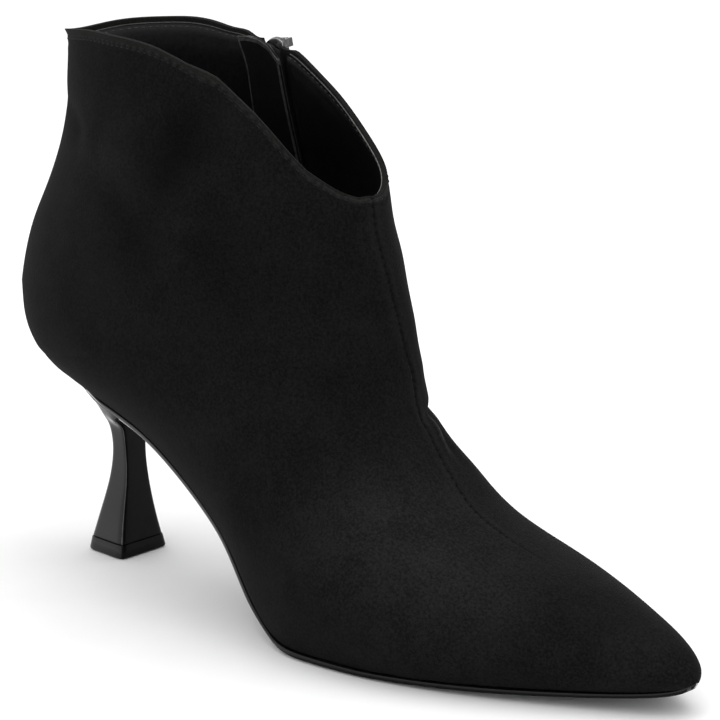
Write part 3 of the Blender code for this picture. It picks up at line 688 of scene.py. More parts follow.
def part_finishes(upper):
    """Suede outside, lining inside, turned edge between, parted at the sharp edges."""
    paint_faces(upper, EDGE_SLOT, lambda face: True)
    pick(upper, "EDGE", sharp(SHARP))
    bpy.ops.mesh.mark_sharp()
    close_mesh()
    flood(upper, SUEDE_SLOT, spot(*SUEDE_SEED), -1.0)
    flood(upper, LINING_SLOT, spot(*LINING_SEED), 1.0)

    def seat_strip(face):
        height = face.calc_center_median().z / MM
        return face.material_index == EDGE_SLOT and SEAT_STRIP[0] < height < SEAT_STRIP[1]
    paint_faces(upper, LINING_SLOT, lambda face: seat_strip(face) and not faces_out(face))
    paint_faces(upper, SUEDE_SLOT, lambda face: seat_strip(face) and faces_out(face))


def to_line(points, line):
    """Distance of points to a broken line, and the share of the way along it, both in the line's plane."""
    line = np.asarray(line, float)
    steps = np.diff(line, axis=0)
    lengths = np.linalg.norm(steps, axis=1)
    reach = np.concatenate([[0.0], np.cumsum(lengths)])
    best = np.full(len(points), 1e9)
    run = np.zeros(len(points))
    for start, step, length, before in zip(line[:-1], steps, lengths, reach[:-1]):
        t = np.clip(((points - start) @ step) / (length * length), 0.0, 1.0)
        away = np.linalg.norm(points - start - t[:, None] * step, axis=1)
        closer = away < best
        best = np.where(closer, away, best)
        run = np.where(closer, before + t * length, run)
    return best, run / reach[-1]


def fold_rise(points):
    """Height of all folds at points in boot millimetres."""
    x, y, z = points.T
    total = np.zeros(len(points))
    for side, line, spread, rise in FOLDS:
        away, share = to_line(points[:, [0, 2]], line)
        end = FOLD_LEFT + (1.0 - FOLD_LEFT) * smoothstep(*FOLD_START, share) * smoothstep(*FOLD_END, share)
        total += rise * bell(away, spread) * end * smoothstep(*FOLD_SIDE, side * y)
    waves = np.sin(x / 17.0 + 0.6 * y / 13.0) * np.sin(z / 15.0 - 0.4)
    return total + DRIFT * (waves + 0.6 * np.sin(x / 9.0 - z / 11.0 + 1.1))


def crease_marks(places, tree):
    """Rise of the throat's creases, and how near each corner is to the ridge and to the trough."""
    total = np.zeros(len(places))
    near = []
    for row, spread, rise in CREASES:
        line, runs = seam_points(row, tree)
        away, found = nearest(places, points_near((line,)))
        end = smoothstep(*CREASE_START, runs[found]) * smoothstep(*CREASE_END, runs[-1] - runs[found])
        total += rise * bell(away, spread) * (CREASE_LEFT + (1.0 - CREASE_LEFT) * end)
        near.append(bell(away, CREASE_CORE * spread) * end)
    return total, near[0], near[1]


def collar_rise(places, from_rim):
    """Upward move that gives the near side of the collar its wave."""
    rise = by_table(places[:, 0] + COLLAR_SLANT * places[:, 1], COLLAR_RISE)
    return rise * smoothstep(*COLLAR_NEAR, places[:, 1]) * bell(from_rim, COLLAR_REACH)


def even_points(rows, gap):
    """Points at an even gap along a line, and their runs from its start."""
    rows = np.asarray(rows, float)
    lengths = np.linalg.norm(np.diff(rows, axis=0), axis=1)
    reach = np.concatenate([[0.0], np.cumsum(lengths)])
    runs = np.arange(0.0, reach[-1], gap)
    return np.stack([np.interp(runs, reach, rows[:, k]) for k in range(3)], -1), runs


def settle_line(points, rounds):
    """Smooths a line of points, its ends held."""
    points = points.copy()
    for turn in range(rounds):
        points[1:-1] = 0.25 * points[:-2] + 0.5 * points[1:-1] + 0.25 * points[2:]
    return points


def seam_points(rows, tree):
    """Points each half millimetre along a seam, laid on the suede."""
    made, runs = even_points(rows, 0.5)
    laid = [list(tree.find_nearest(spot(*p))[0]) for p in settle_line(made, 6)]
    return boot_mm(laid), runs


def points_near(paths):
    """Search tree over several point lists."""
    tree = KDTree(sum(len(p) for p in paths))
    for k, p in enumerate(p for path in paths for p in path):
        tree.insert(Vector(p), k)
    tree.balance()
    return tree


def nearest(points, tree):
    """Distance of each point to the nearest one in a search tree, and that one's number."""
    found = [tree.find(Vector(p)) for p in points]
    return np.array([f[2] for f in found]), np.array([f[1] for f in found])


def corner_values(mesh, key):
    """Places in scene metres, or normals, of a mesh's corners."""
    values = np.zeros(len(mesh.vertices) * 3, np.float32)
    mesh.vertices.foreach_get(key, values)
    return values.reshape(-1, 3).astype(float)


def corner_places(mesh):
    """Places of a mesh's corners, in boot millimetres."""
    return boot_mm(corner_values(mesh, "co"))


def move_corners(mesh, places):
    """Puts the corners at places in boot millimetres."""
    mesh.vertices.foreach_set("co", ((places - MIDDLE) * MM).astype(np.float32).ravel())
    mesh.update()


def trim_piece(piece, rows=TRIMS, draw_in=SEAT_TUCK, lift=SEAT_LIFT):
    move_corners(piece.data, trim(corner_places(piece.data), rows, draw_in, lift))


def corners_of(mesh, wanted):
    """For each corner, whether it is on a wanted face."""
    marks = np.zeros(len(mesh.vertices), bool)
    for polygon in mesh.polygons:
        if wanted(polygon):
            marks[list(polygon.vertices)] = True
    return marks


def on_finish(mesh, slot):
    """For each corner, whether it is on a face of one finish."""
    return corners_of(mesh, lambda polygon: polygon.material_index == slot)


def skin_tree(piece, slot=None):
    """Search tree over the faces of one finish, or of all."""
    mesh = piece.data
    faces = [tuple(p.vertices) for p in mesh.polygons if slot is None or p.material_index == slot]
    return BVHTree.FromPolygons([v.co.copy() for v in mesh.vertices], faces)


def refine(upper, limit, tree):
    """Splits the faces that lie within a distance of the given points."""
    def close(face):
        if face.material_index == EDGE_SLOT:
            return False
        return tree.find(Vector(boot_mm(face.calc_center_median())))[2] < limit
    pick(upper, "FACE", close)
    bpy.ops.mesh.subdivide(number_cuts=1, quadcorner="INNERVERT")
    close_mesh()


def ease_seat(upper):
    """Softens the turn of the suede over the heel seat."""
    x, z = corner_places(upper.data)[:, [0, 2]].T
    zone = on_finish(upper.data, SUEDE_SLOT) & (x < SOFT_X) & (z > SOFT_Z[0]) & (z < SOFT_Z[1])
    zone &= ~on_finish(upper.data, EDGE_SLOT) & ~on_finish(upper.data, LINING_SLOT)
    bm = open_mesh(upper, "VERT")
    bm.verts.ensure_lookup_table()
    for k in np.nonzero(zone)[0]:
        bm.verts[k].select_set(True)
    bmesh.update_edit_mesh(upper.data)
    bpy.ops.mesh.vertices_smooth(factor=0.5, repeat=SOFT_ROUNDS)
    close_mesh()


def store(mesh, name, values):
    """Keeps a value for each corner, for a finish to read."""
    layer = mesh.attributes.new(name, "FLOAT", "POINT")
    layer.data.foreach_set("value", np.asarray(values, np.float32))


# Painted light and shade on the suede: zones painted lighter where light falls and darker where shade falls,
# each a centre, reach and gain over the plain tone.
PAINTED_LIGHT_ZONES = (
    ((190, -24, 34), (34, 30, 20), 0.85),
    ((165, -26, 44), (22, 24, 14), 0.60),
    ((212, -4, 30), (22, 16, 14), -0.26),
    ((240, -8, 14), (14, 20, 12), 0.30),
    ((4, -10, 90), (14, 26, 26), 0.50),
    ((22, -16, 66), (24, 26, 14), 0.25),
    ((86, -30, 136), (13, 24, 13), -0.48),
    ((98, -34, 96), (22, 20, 18), -0.10),
    ((140, -8, 106), (16, 20, 22), -0.12),
    ((105, -30, 104), (26, 30, 22), -0.14),
    ((168, 22, 48), (30, 16, 20), -0.28),
    ((74, -34, 112), (18, 20, 16), -0.10),
    ((60, -36, 156), (34, 14, 9), -0.14),
)


def painted_light_tone(places):
    """Painted light and shade: lighter and darker zones of the suede's tone."""
    tone = np.ones(len(places))
    for centre, reach, gain in PAINTED_LIGHT_ZONES:
        tone += gain * soft_spot(places, centre, reach)
    return np.clip(tone, 0.4, 2.4)


def rim_moves(places, on_suede, outer_rim, from_rim, suede):
    """Moves that thin the rim from inside, level its far side and give the near side its wave."""
    moves = np.zeros((len(places), 3))
    outer_tree = points_near((outer_rim,))
    for k in np.nonzero(~on_suede & (from_rim < RIM_REACH))[0]:
        x, y, z = places[k]
        found = suede.find_nearest(spot(x, y, z))
        inside = min(found[3] / MM / WALL, 1.0)
        moves[k] = np.array(found[1]) * by_table(z, RIM_THINNER) * inside * bell(from_rim[k], RIM_SPREAD)
        if y > 0.0 and x < LEVEL_X:
            below = outer_rim[outer_tree.find(Vector(places[k]))[1]][2] + 0.6 - z
            moves[k][2] += LEVEL_RISE * smoothstep(0.2, 2.0, below) * bell(from_rim[k], LEVEL_SPREAD)
    moves[:, 2] += collar_rise(places, from_rim)
    return moves


def shape_suede(upper):
    """Folds, the raised seams and the collar's stitched band, worked into both skins."""
    mesh = upper.data
    suede = skin_tree(upper, SUEDE_SLOT)
    front, front_run = seam_points(FRONT_SEAM, suede)
    back, back_run = seam_points(BACK_SEAM, suede)
    seam_tree = points_near((front, back))
    places = corner_places(mesh)
    rim_tree = points_near((places[on_finish(mesh, EDGE_SLOT) & (places[:, 2] > RIM_LOW)],))
    crease_tree = points_near([seam_points(row[0], suede)[0] for row in CREASES[:2]])
    for limits, tree in ((SEAM_SPLITS, seam_tree), (CREASE_SPLITS, crease_tree), ((RIM_SPLIT,), rim_tree)):
        for limit in limits:
            refine(upper, limit, tree)

    places = corner_places(mesh)
    x, z = places[:, [0, 2]].T
    on_suede = on_finish(mesh, SUEDE_SLOT)
    on_edge = on_finish(mesh, EDGE_SLOT)
    on_lining = on_finish(mesh, LINING_SLOT) & ~on_suede
    from_rim = nearest(places, rim_tree)[0]
    from_feather = nearest(places, points_near((places[on_edge & (z <= RIM_LOW)],)))[0]
    from_seam, seam_spot = nearest(places, seam_tree)
    clear_feather = smoothstep(*CLEAR_FEATHER, from_feather)
    clear = smoothstep(*CLEAR_RIM, from_rim) * clear_feather
    crease, ridge, trough = crease_marks(places, suede)
    folds = fold_rise(places) * clear

    toe_fade = np.where(x > FRONT_X, smoothstep(*GROOVE_FADE, x), BACK_FADE)
    dot_fade = np.where(x > FRONT_X, 0.35 * smoothstep(*DOT_FADE, x) + 0.65 * toe_fade, BACK_FADE)
    groove = profile(from_seam, SEAM_PROFILE) * toe_fade * on_suede
    band = profile(from_rim, BAND_PROFILE) * (on_suede | on_lining)
    rise = folds + crease * clear + (groove + band) * clear_feather
    outward = np.where(on_lining, -1.0, 1.0)[:, None] * corner_values(mesh, "normal")
    moves = rim_moves(places, on_suede, places[on_suede & on_edge & (z > RIM_LOW)], from_rim, suede)
    from_sole = nearest(places, points_near((corner_places(frame["nodes"]["outsole"].data),)))[0]
    moves[:, 2] -= FORE_LOW * smoothstep(*FORE_FROM, x) * smoothstep(*FORE_REACH, from_sole)
    move_corners(mesh, trim(places + outward * rise[:, None] + moves, TRIMS, SUEDE_TUCK, SUEDE_LIFT))

    across = np.minimum(from_seam / np.maximum(dot_fade, 0.05), 20.0)
    store(mesh, "seam_across", np.where(on_suede, across, 20.0))
    store(mesh, "seam_along", np.concatenate([front_run, back_run])[seam_spot])
    # Paler worn edges along rim, feather line and seams, and a painted highlight along the throat's ridge.
    wear_and_highlight = profile(from_rim, RIM_WEAR) + profile(from_feather, FEATHER_WEAR)
    wear_and_highlight += profile(from_seam, SEAM_WEAR) * toe_fade + RIDGE_HIGHLIGHT * ridge * on_suede
    store(mesh, "wear_and_highlight", np.clip(wear_and_highlight, 0.0, 1.0))
    # Painted light on the rising folds and painted shade in the throat's trough, stored with the painted
    # zones.
    fold_painted_light = (1.0 - TROUGH_PAINTED_SHADE * trough) * (1.0 + FOLD_PAINTED_LIGHT * folds)
    store(mesh, "painted_light_and_shade", painted_light_tone(places) * fold_painted_light)


def make_upper():
    """The suede upper with its lining: smoothed from the solid, then folded and seamed."""
    upper = copy_of("upper", "suede_upper", SUEDE, LINING, TURNED_EDGE)
    part_finishes(upper)
    bevel_edges(upper, sharp(SHARP, over=RIM_LOW), RIM_BEVEL, EDGE_SLOT)
    hold_edges(upper, sharp(SHARP, under=SEAT_STRIP[0]), FEATHER_HOLD)
    smooth(upper)
    ease_seat(upper)
    shape_suede(upper)
    return settle(upper, BODY, "suede", "upper")


# Rows of stitches and the lining's edge


# Half width of the zip's slot at the rim, and the height where it opens into the collar.
SLOT_HALF = 7.0
SLOT_TOP = 158.6
# A stitch tapers and dips at its ends; its length, width and height, the gap to the next, its lift.
STITCH_TAPER = 0.45
STITCH_DIP = 0.75
STITCH_SIZE = (1.7, 0.34, 0.26)
STITCH_GAP = 2.3
STITCH_LIFT = 0.06
# The lining's edge is painted with a pale highlight, palest at the front, up to a height; the dimmer painted
# highlight up to the zip overlaps it.
EDGE_FRONT_Y = -6.0
EDGE_PALE_TOP = 142.0
EDGE_DIM_FOOT = 138.5
TAPE_END_SIZE = (2.2, 1.1, 1.0)
TAPE_END_LIFT = 0.3


def meeting_line(piece, first, second):
    """Corners, in order, of the closed line above the ankle where two finishes meet."""
    mesh = piece.data
    owners = {}
    for polygon in mesh.polygons:
        if polygon.material_index in (first, second):
            for key in polygon.edge_keys:
                owners.setdefault(key, set()).add(polygon.material_index)
    links = {}
    for key, found in owners.items():
        if len(found) == 2 and min(mesh.vertices[k].co.z for k in key) > RIM_LOW * MM:
            for a, b in (key, key[::-1]):
                links.setdefault(a, []).append(b)
    path = [max(links, key=lambda k: mesh.vertices[k].co.z)]
    seen = set(path)
    ahead = links[path[0]]
    while ahead:
        path.append(ahead[0])
        seen.add(ahead[0])
        ahead = [k for k in links[path[-1]] if k not in seen]
    return boot_mm([list(mesh.vertices[k].co) for k in path])


def zip_x(z):
    return ZIP_TOP_X + ZIP_LEAN * (ZIP_TOP_Z - z)


def split_rim(path):
    """The closed line in two: round the collar, and round the zip's slot."""
    x, y, z = path.T
    slot = (y > 10.0) & (np.abs(x - zip_x(z)) < SLOT_HALF) & (z < SLOT_TOP)
    first = int(np.argmax(slot & ~np.roll(slot, 1)))
    path = np.roll(path, -first, axis=0)
    slot = np.roll(slot, -first)
    return path[~slot], path[slot]


def beside(path, tree, offset, down):
    """Places, directions and normals of stitches in a row beside a line, on the surface."""
    points = settle_line(even_points(path, 0.5)[0], 12)
    normals = np.array([list(tree.find_nearest(spot(*p))[1]) for p in points])
    sides = np.cross(normals, unit(np.gradient(points, axis=0)))
    if down:
        sign = -np.sign(sides[:, 2].sum())
    else:
        middle = np.stack([zip_x(points[:, 2]), points[:, 1], points[:, 2]], -1)
        sign = np.sign((sides * (points - middle)).sum())
    row = even_points(settle_line(points + sign * offset * sides, 8), STITCH_GAP)[0]
    laid = [tree.find_nearest(spot(*p)) for p in row]
    places = np.array([list(found[0]) for found in laid])
    normals = np.array([list(found[1]) for found in laid])
    ways = np.gradient(places, axis=0)
    ways -= (ways * normals).sum(1)[:, None] * normals
    return places, unit(ways), normals


def stitch_shape(length, width, height):
    """One stitch, lying along X: a short thread whose ends dip into the leather."""
    nothing_picked()
    bpy.ops.mesh.primitive_cylinder_add(vertices=8, radius=0.5, depth=1.0,
                                        rotation=(0.0, math.radians(90.0), 0.0))
    shape = bpy.context.object
    bpy.ops.object.transform_apply(location=False, rotation=True, scale=False)
    bpy.ops.object.mode_set(mode="EDIT")
    bpy.ops.mesh.select_all(action="SELECT")
    bpy.ops.mesh.subdivide(number_cuts=1)
    close_mesh()
    places = np.array([list(v.co) for v in shape.data.vertices])
    end = np.abs(places[:, 0]) * 2.0
    places[:, 1:] *= (1.0 - STITCH_TAPER * end ** 2)[:, None]
    places *= np.array([length, width, height])
    places[:, 2] -= STITCH_DIP * height * end ** 2
    faces = [tuple(p.vertices) for p in shape.data.polygons]
    bpy.data.objects.remove(shape)
    return places * MM, faces


def copies(name, shape, row, mat, slot, lift):
    """Copies of one small shape at a row of places, directions and normals, as one piece."""
    points, faces = shape
    verts, polys = [], []
    for place, way, normal in zip(*row):
        turn = np.stack([way, np.cross(normal, way), normal], 1)
        polys.extend([tuple(k + len(verts) for k in face) for face in faces])
        verts.extend((points @ turn.T + place + normal * lift * MM).tolist())
    mesh = bpy.data.meshes.new(name)
    mesh.from_pydata(verts, [], polys)
    mesh.materials.append(mat)
    piece = link_object(name, mesh)
    only(piece)
    bpy.ops.object.shade_smooth()
    return settle(piece, BODY, slot)


def bead(name, path, radius, mat):
    """A thin round edge along a line."""
    points = settle_line(even_points(path, 0.8)[0], 8)
    data = bpy.data.curves.new(name, "CURVE")
    data.dimensions = "3D"
    data.bevel_depth = radius * MM
    data.bevel_resolution = 2
    data.use_fill_caps = True
    line = data.splines.new("POLY")
    line.points.add(len(points) - 1)
    for point, p in zip(line.points, points):
        point.co = (*spot(*p), 1.0)
    only(link_object(name, data))
    bpy.ops.object.convert(target="MESH")
    piece = bpy.context.object
    piece.data.materials.clear()
    piece.data.materials.append(mat)
    bpy.ops.object.shade_smooth()
    return settle(piece, BODY, "suede")


def make_stitching(upper):
    """Stitches beside the collar and the zip, pale beads of painted highlight along the lining's edge, and
    the tape's ends at the collar.
    """
    suede = skin_tree(upper, SUEDE_SLOT)
    lining = skin_tree(upper, LINING_SLOT)
    collar, slot_edge = split_rim(meeting_line(upper, SUEDE_SLOT, EDGE_SLOT))
    inner = split_rim(meeting_line(upper, LINING_SLOT, EDGE_SLOT))[0]
    fine = stitch_shape(*STITCH_SIZE)
    for name, line, skin, offset, down, mat in (
            ("collar_stitches", collar, suede, 1.1, True, THREAD),
            ("lining_stitches", inner, lining, 1.2, True, LINING_THREAD),
            ("zip_stitches", slot_edge, suede, 1.8, False, THREAD)):
        copies(name, fine, beside(line, skin, offset, down), mat, "suede", STITCH_LIFT)
    front = (inner[:, 0] > FRONT_X) & (inner[:, 1] > EDGE_FRONT_Y)
    # Beads along the lining's edge in pale finishes: painted highlight.
    bead("lining_edge_highlight", inner[front & (inner[:, 2] < EDGE_PALE_TOP)], 0.26, LINING_EDGE_HIGHLIGHT)
    bead("lining_edge_zip_highlight", inner[front & (inner[:, 2] > EDGE_DIM_FOOT)], 0.24, LINING_EDGE_DIM_HIGHLIGHT)
    bead("lining_edge_back_highlight", inner[~front], 0.22, GUARD_EDGE_HIGHLIGHT)
    ways = unit(np.array([collar[2] - collar[6], collar[-3] - collar[-7]]))
    tops = unit(np.array([0.0, 0.0, 1.0]) - ways * ways[:, 2:])
    places = np.array([list(spot(*p)) for p in (collar[2], collar[-3])])
    knob = stitch_shape(*TAPE_END_SIZE)
    copies("tape_ends", knob, (places, ways, tops), THREAD, "zip_fabric", TAPE_END_LIFT)


# Sole and heel


# Faces that look down more steeply than this are tread.
TREAD_FACING = -0.7
# Painted shade: the dark line between the lip of the seat and the heel, and the forefoot's dark under edge,
# by X.
SEAT_SHADE_X = (37.0, 55.0)
FORE_SHADE_X = 110.0
SEAT_UNDERCUT = 0.3
UNDERCUT_X = (62.0, 34.0)
# The sole's edge is polished from the arch back, and only a little at the forefoot.
SOLE_POLISH = (0.08, 0.82)
POLISH_X = (125.0, 85.0)
# The lacquer is glossier on the flare under the seat, from one height to another.
FLARE_GLOSS = (45.0, 53.0)
# The heel's breast looks forward and takes painted shade; its two corners, between these shares of forward,
# take a painted highlight.
BREAST_FACING = 0.6
CORNER_FACING = (0.50, 0.74)
# Below this height the heel's edges stay fully crisp.
LIFT_LINE = 5.0
# The lift carries on the heel's flare down to the floor: height, and share of the drawn outline.
LIFT_MIDDLE_X = 32.9
LIFT_FLARE = ((0.0, 1.085), (0.5, 1.060), (3.7, 1.000))
LIFT_TOP = 3.95


def in_painted_shade(face):
    """Whether a face is in the painted shade under the sole's edge."""
    x = boot_mm(face.calc_center_median())[0]
    return face.normal.z < -0.5 and (SEAT_SHADE_X[0] < x < SEAT_SHADE_X[1] or x > FORE_SHADE_X)


def make_outsole():
    """Thin sole: polished edge, undercut round the heel seat, painted shade under its edge, fine-grained
    tread.
    """
    sole = copy_of("outsole", "outsole_dressed", SOLE_EDGE, GRIP, SOLE_UNDER_SHADE)
    paint_faces(sole, 1, lambda face: face.normal.z < TREAD_FACING)
    # Painted shade: chamfer faces at the seat and forefoot take the dark under-edge finish.
    paint_faces(sole, 2, lambda face: face.normal.z >= TREAD_FACING and in_painted_shade(face))
    places = corner_places(sole.data)
    upward = corners_of(sole.data, lambda polygon: polygon.normal.z > -TREAD_FACING)
    places[:, 2] -= FORE_LOW * smoothstep(*FORE_FROM, places[:, 0]) * upward
    under = corners_of(sole.data, lambda polygon: polygon.material_index > 0)
    drawn = SEAT_UNDERCUT * smoothstep(*UNDERCUT_X, places[:, 0]) * under
    inward = np.array(SEAT_CENTRE) - places[:, :2]
    inward /= np.maximum(np.linalg.norm(inward, axis=1), 1e-6)[:, None]
    places[:, :2] += inward * drawn[:, None]
    move_corners(sole.data, places)
    hold_edges(sole, sharp(35.0), 0.75)
    smooth(sole)
    trim_piece(sole, TRIMS + SOLE_TRIMS)
    backward = smoothstep(*POLISH_X, corner_places(sole.data)[:, 0])
    store(sole.data, "polish", SOLE_POLISH[0] + SOLE_POLISH[1] * backward)
    return settle(sole, BODY, "sole_edge", "outsole")


def make_heel():
    """Lacquered heel with crisp corners and a glossy flare; painted shade on the breast and a painted
    highlight on the corners.
    """
    heel = copy_of("heel", "heel_dressed", LACQUER, BREAST_PAINTED_SHADE, HEEL_CORNER_HIGHLIGHT)
    # Painted shade: the forward faces take the dimmer breast finish.
    paint_faces(heel, 1, lambda face: face.normal.x > BREAST_FACING)
    hold_edges(heel, sharp(26.0), 0.85)
    hold_edges(heel, sharp(26.0, under=LIFT_LINE), 1.0)
    smooth(heel)
    low, high = CORNER_FACING
    # Painted highlight: the corner faces take the pale corner finish.
    paint_faces(heel, 2, lambda face: low < face.normal.x < high and abs(face.normal.y) > 0.5)
    store(heel.data, "polish", smoothstep(*FLARE_GLOSS, corner_places(heel.data)[:, 2]))
    trim_piece(heel, TRIMS + HEEL_TRIMS)
    return settle(heel, BODY, "lacquer", "heel")


def make_heel_tip():
    """The lift under the heel, flared to the floor, with a tread below."""
    tip = copy_of("top_lift", "heel_tip", LIFT, BREAST_PAINTED_SHADE, GRIP)
    places = corner_places(tip.data)
    flare = by_table(places[:, 2], LIFT_FLARE)
    places[:, 0] = LIFT_MIDDLE_X + (places[:, 0] - LIFT_MIDDLE_X) * flare
    places[:, 1] *= flare
    places[:, 2] = np.where(places[:, 2] > 3.0, LIFT_TOP, places[:, 2])
    move_corners(tip.data, places)
    # Painted shade: the lift's forward faces take the dimmer breast finish too.
    paint_faces(tip, 1, lambda face: face.normal.x > BREAST_FACING)
    paint_faces(tip, 2, lambda face: face.normal.z < -0.8)
    bevel_edges(tip, sharp(40.0), 0.10)
    shade_crisp(tip)
    return settle(tip, BODY, "lift", "top_lift")


def make_sock():
    sock = copy_of("insole", "sock_lining", SOCK)
    hold_edges(sock, sharp(35.0), 0.5)
    smooth(sock)
    trim_piece(sock, TRIMS, SOCK_TUCK, SUEDE_LIFT)
    return settle(sock, BODY, "sock", "insole")


# Zip


# The guard's back edge, its width, and its top, which slopes forward and is raised by share of the width.
# Below the top the back edge is drawn forward.
GUARD_BACK_X = 60.0
GUARD_WIDTH = 16.2
GUARD_TOP_Z = 155.0
GUARD_SLOPE = 0.16
GUARD_RISE = ((0.0, 3.8), (0.25, 4.8), (0.5, 5.0), (0.75, 4.0), (1.0, 0.8))
GUARD_RISE_OVER = (26.0, 0.0)
GUARD_NARROW = 3.0
GUARD_NARROW_OVER = (-2.0, 10.0)
# The tape's sides are spread under the slot's edges, from one distance off its middle to another.
TAPE_SPREAD = 1.0
TAPE_SIDE = (1.3, 2.0)
# The teeth run up from one height to another, each with its length, width and height.
TEETH_FROM = 84.5
TEETH_TO = 149.0
TOOTH_GAP = 1.15
TOOTH_SIZE = (2.5, 0.80, 0.80)
TOOTH_LIFT = 0.05
# The slider's plate: middle, half width, front face, heights of its top, how far that is lowered in the
# middle and more at the ends, and the length from which its edges are split for the dome.
PLATE_MIDDLE_X = 71.5
PLATE_HALF = 3.5
PLATE_FRONT_Y = 28.52
PLATE_TOP = (155.0, 159.5)
PLATE_LOWER = 0.7
PLATE_DOME = 1.5
PLATE_EDGE = 2.5
METAL_BEVEL = 0.22


def make_guard():
    """The flap behind the zip, its top drawn up to the collar."""
    guard = copy_of("zip_guard", "guard_flap", GUARD, GUARD_EDGE_HIGHLIGHT)
    # The bevels take the guard's paler edge finish: painted highlight.
    bevel_edges(guard, sharp(50.0), 0.20, 1)
    smooth(guard)
    places = corner_places(guard.data)
    from_back = places[:, 0] - GUARD_BACK_X
    across = np.clip(from_back / GUARD_WIDTH, 0.0, 1.0)
    below = GUARD_TOP_Z - GUARD_SLOPE * from_back - places[:, 2]
    places[:, 2] += by_table(across, GUARD_RISE) * smoothstep(*GUARD_RISE_OVER, below)
    places[:, 0] += GUARD_NARROW * smoothstep(*GUARD_NARROW_OVER, below) * (1.0 - across) ** 2
    move_corners(guard.data, places)
    return settle(guard, BODY, "guard", "zip_guard")


def make_tape():
    """The closed zip: woven tape with its coil."""
    tape = copy_of("zip_tape", "zip_tape_woven", TAPE)
    hold_edges(tape, sharp(35.0), 0.6)
    smooth(tape)
    places = corner_places(tape.data)
    off = places[:, 0] - zip_x(places[:, 2])
    places[:, 0] += np.sign(off) * TAPE_SPREAD * smoothstep(*TAPE_SIDE, np.abs(off))
    move_corners(tape.data, places)
    trim_piece(tape)
    settle(tape, BODY, "zip_fabric", "zip_tape")
    tree = skin_tree(tape)
    rays = [tree.ray_cast(spot(zip_x(z), 60.0, z), Vector((0.0, -1.0, 0.0)))
            for z in np.arange(TEETH_FROM, TEETH_TO, TOOTH_GAP)]
    hits = [ray for ray in rays if ray[0] is not None]
    places = np.array([list(hit[0]) for hit in hits])
    normals = np.array([list(hit[1]) for hit in hits])
    upward = unit(np.gradient(places, axis=0))
    ways = unit(np.cross(upward, normals))
    row = (places, ways, np.cross(ways, upward))
    copies("zip_teeth", stitch_shape(*TOOTH_SIZE), row, COIL, "zip_fabric", TOOTH_LIFT)


def dome_plate(metal):
    """Rounds the top of the slider's plate into a low dome."""
    def long_edge(edge):
        run = edge.verts[1].co - edge.verts[0].co
        level = abs(run.x) > 0.9 * run.length
        return level and run.length > PLATE_EDGE * MM and height_mm(edge) > PLATE_TOP[0]
    pick(metal, "EDGE", long_edge)
    bpy.ops.mesh.subdivide(number_cuts=5)
    close_mesh()
    places = corner_places(metal.data)
    off = (places[:, 0] - PLATE_MIDDLE_X) / PLATE_HALF
    high = smoothstep(*PLATE_TOP, places[:, 2]) * (places[:, 1] < PLATE_FRONT_Y)
    places[:, 2] -= (PLATE_LOWER + PLATE_DOME * off ** 2) * high
    move_corners(metal.data, places)


def make_metal(node, name, body, slot, mat, shape=None):
    """Zip metal with softened edges, the bevels in a pale metal as painted highlight."""
    metal = copy_of(node, name, mat, METAL_EDGE_HIGHLIGHT)
    if shape:
        shape(metal)
    # The bevels take the pale edge metal: painted highlight.
    bevel_edges(metal, sharp(40.0), METAL_BEVEL, 1)
    shade_crisp(metal)
    return settle(metal, body, slot, node)


# Floor, light and camera


FLOOR_SIZE = 8.0
FLOOR_Z = -0.0003
WORLD_STRENGTH = 1.05
SENSOR = 36.0
CLIP_START = 0.01
# Soft boxes: name, place and size in boot millimetres, watts.
LAMPS = (
    ("key_softbox", (60, -620, 900), 700, 0.8),
    ("top_softbox", (320, 120, 1000), 800, 3),
    ("back_softbox", (-520, 320, 620), 600, 0.8),
)


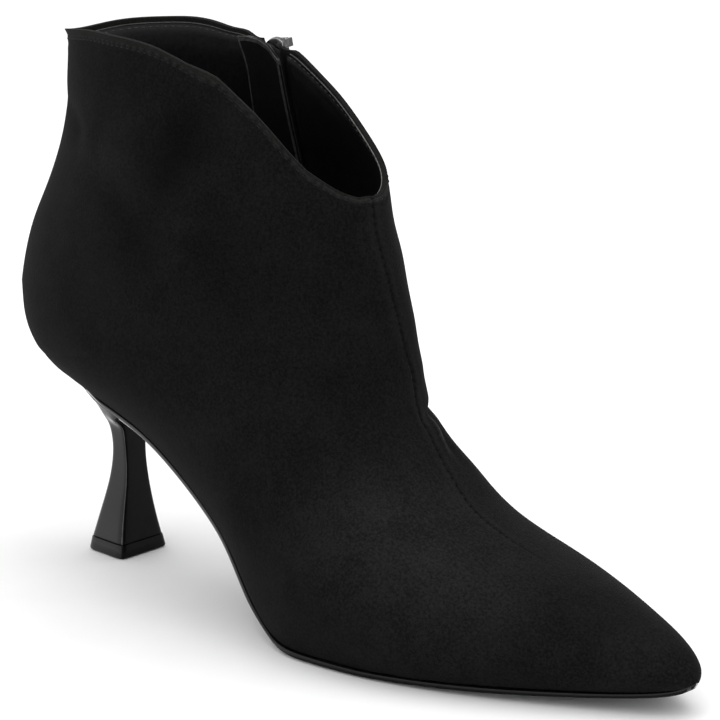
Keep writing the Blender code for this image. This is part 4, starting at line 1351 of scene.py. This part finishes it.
def make_stage():
    """Plain pale floor under white light."""
    nothing_picked()
    bpy.ops.mesh.primitive_plane_add(size=FLOOR_SIZE, location=(0.0, 0.0, FLOOR_Z))
    floor = bpy.context.object
    floor.name = "studio_floor"
    mat, tree, shader, place = base_finish("pale_floor", 0.9, 0.2)
    nap = use_nap(tree, place, 40.0, 3.0)
    colour = two_tone(tree, nap.outputs["Tone"], (930, 930, 930), (950, 950, 950), 0.3, 0.7)
    feed(tree, shader, {"Base Color": colour})
    floor.data.materials.append(mat)
    world = bpy.data.worlds.new("white_studio")
    world.use_nodes = True
    white = {"Color": (1.0, 1.0, 1.0, 1.0), "Strength": WORLD_STRENGTH}
    feed(world.node_tree, world.node_tree.nodes["Background"], white)
    bpy.context.scene.world = world
    bpy.context.scene.view_settings.view_transform = "Standard"


def make_lights():
    for name, place, size, watts in LAMPS:
        data = bpy.data.lights.new(name, "AREA")
        data.shape = "SQUARE"
        data.size = size * MM
        data.energy = watts
        lamp = link_object(name, data)
        lamp.location = spot(*place)
        aim = spot(*VIEW_TARGET) - lamp.location
        lamp.rotation_euler = aim.to_track_quat("-Z", "Y").to_euler()


def make_camera():
    """Camera at the photograph's viewing angle."""
    data = bpy.data.cameras.new("photo_camera")
    data.lens = VIEW_LENS
    data.sensor_width = SENSOR
    data.clip_start = CLIP_START
    camera = link_object("photo_camera", data)
    a = math.radians(VIEW_AZIMUTH)
    e = math.radians(VIEW_ELEVATION)
    back = Vector((math.sin(a) * math.cos(e), -math.cos(a) * math.cos(e), math.sin(e)))
    camera.location = spot(*VIEW_TARGET) + back * VIEW_DISTANCE * MM
    camera.rotation_euler = (-back).to_track_quat("-Z", "Y").to_euler()
    bpy.context.scene.camera = camera


make_stage()
make_lights()
make_camera()
upper_piece = make_upper()
make_stitching(upper_piece)
make_outsole()
make_heel()
make_heel_tip()
make_sock()
make_guard()
make_tape()
make_metal("zip_slider", "zip_slider_metal", BODY, "slider_metal", SLIDER_METAL, dome_plate)
# The pull takes the darker copy of the metal: painted shade.
make_metal("zip_pull", "zip_pull_metal", PULL_BODY, "pull_metal", PULL_METAL_SHADE)
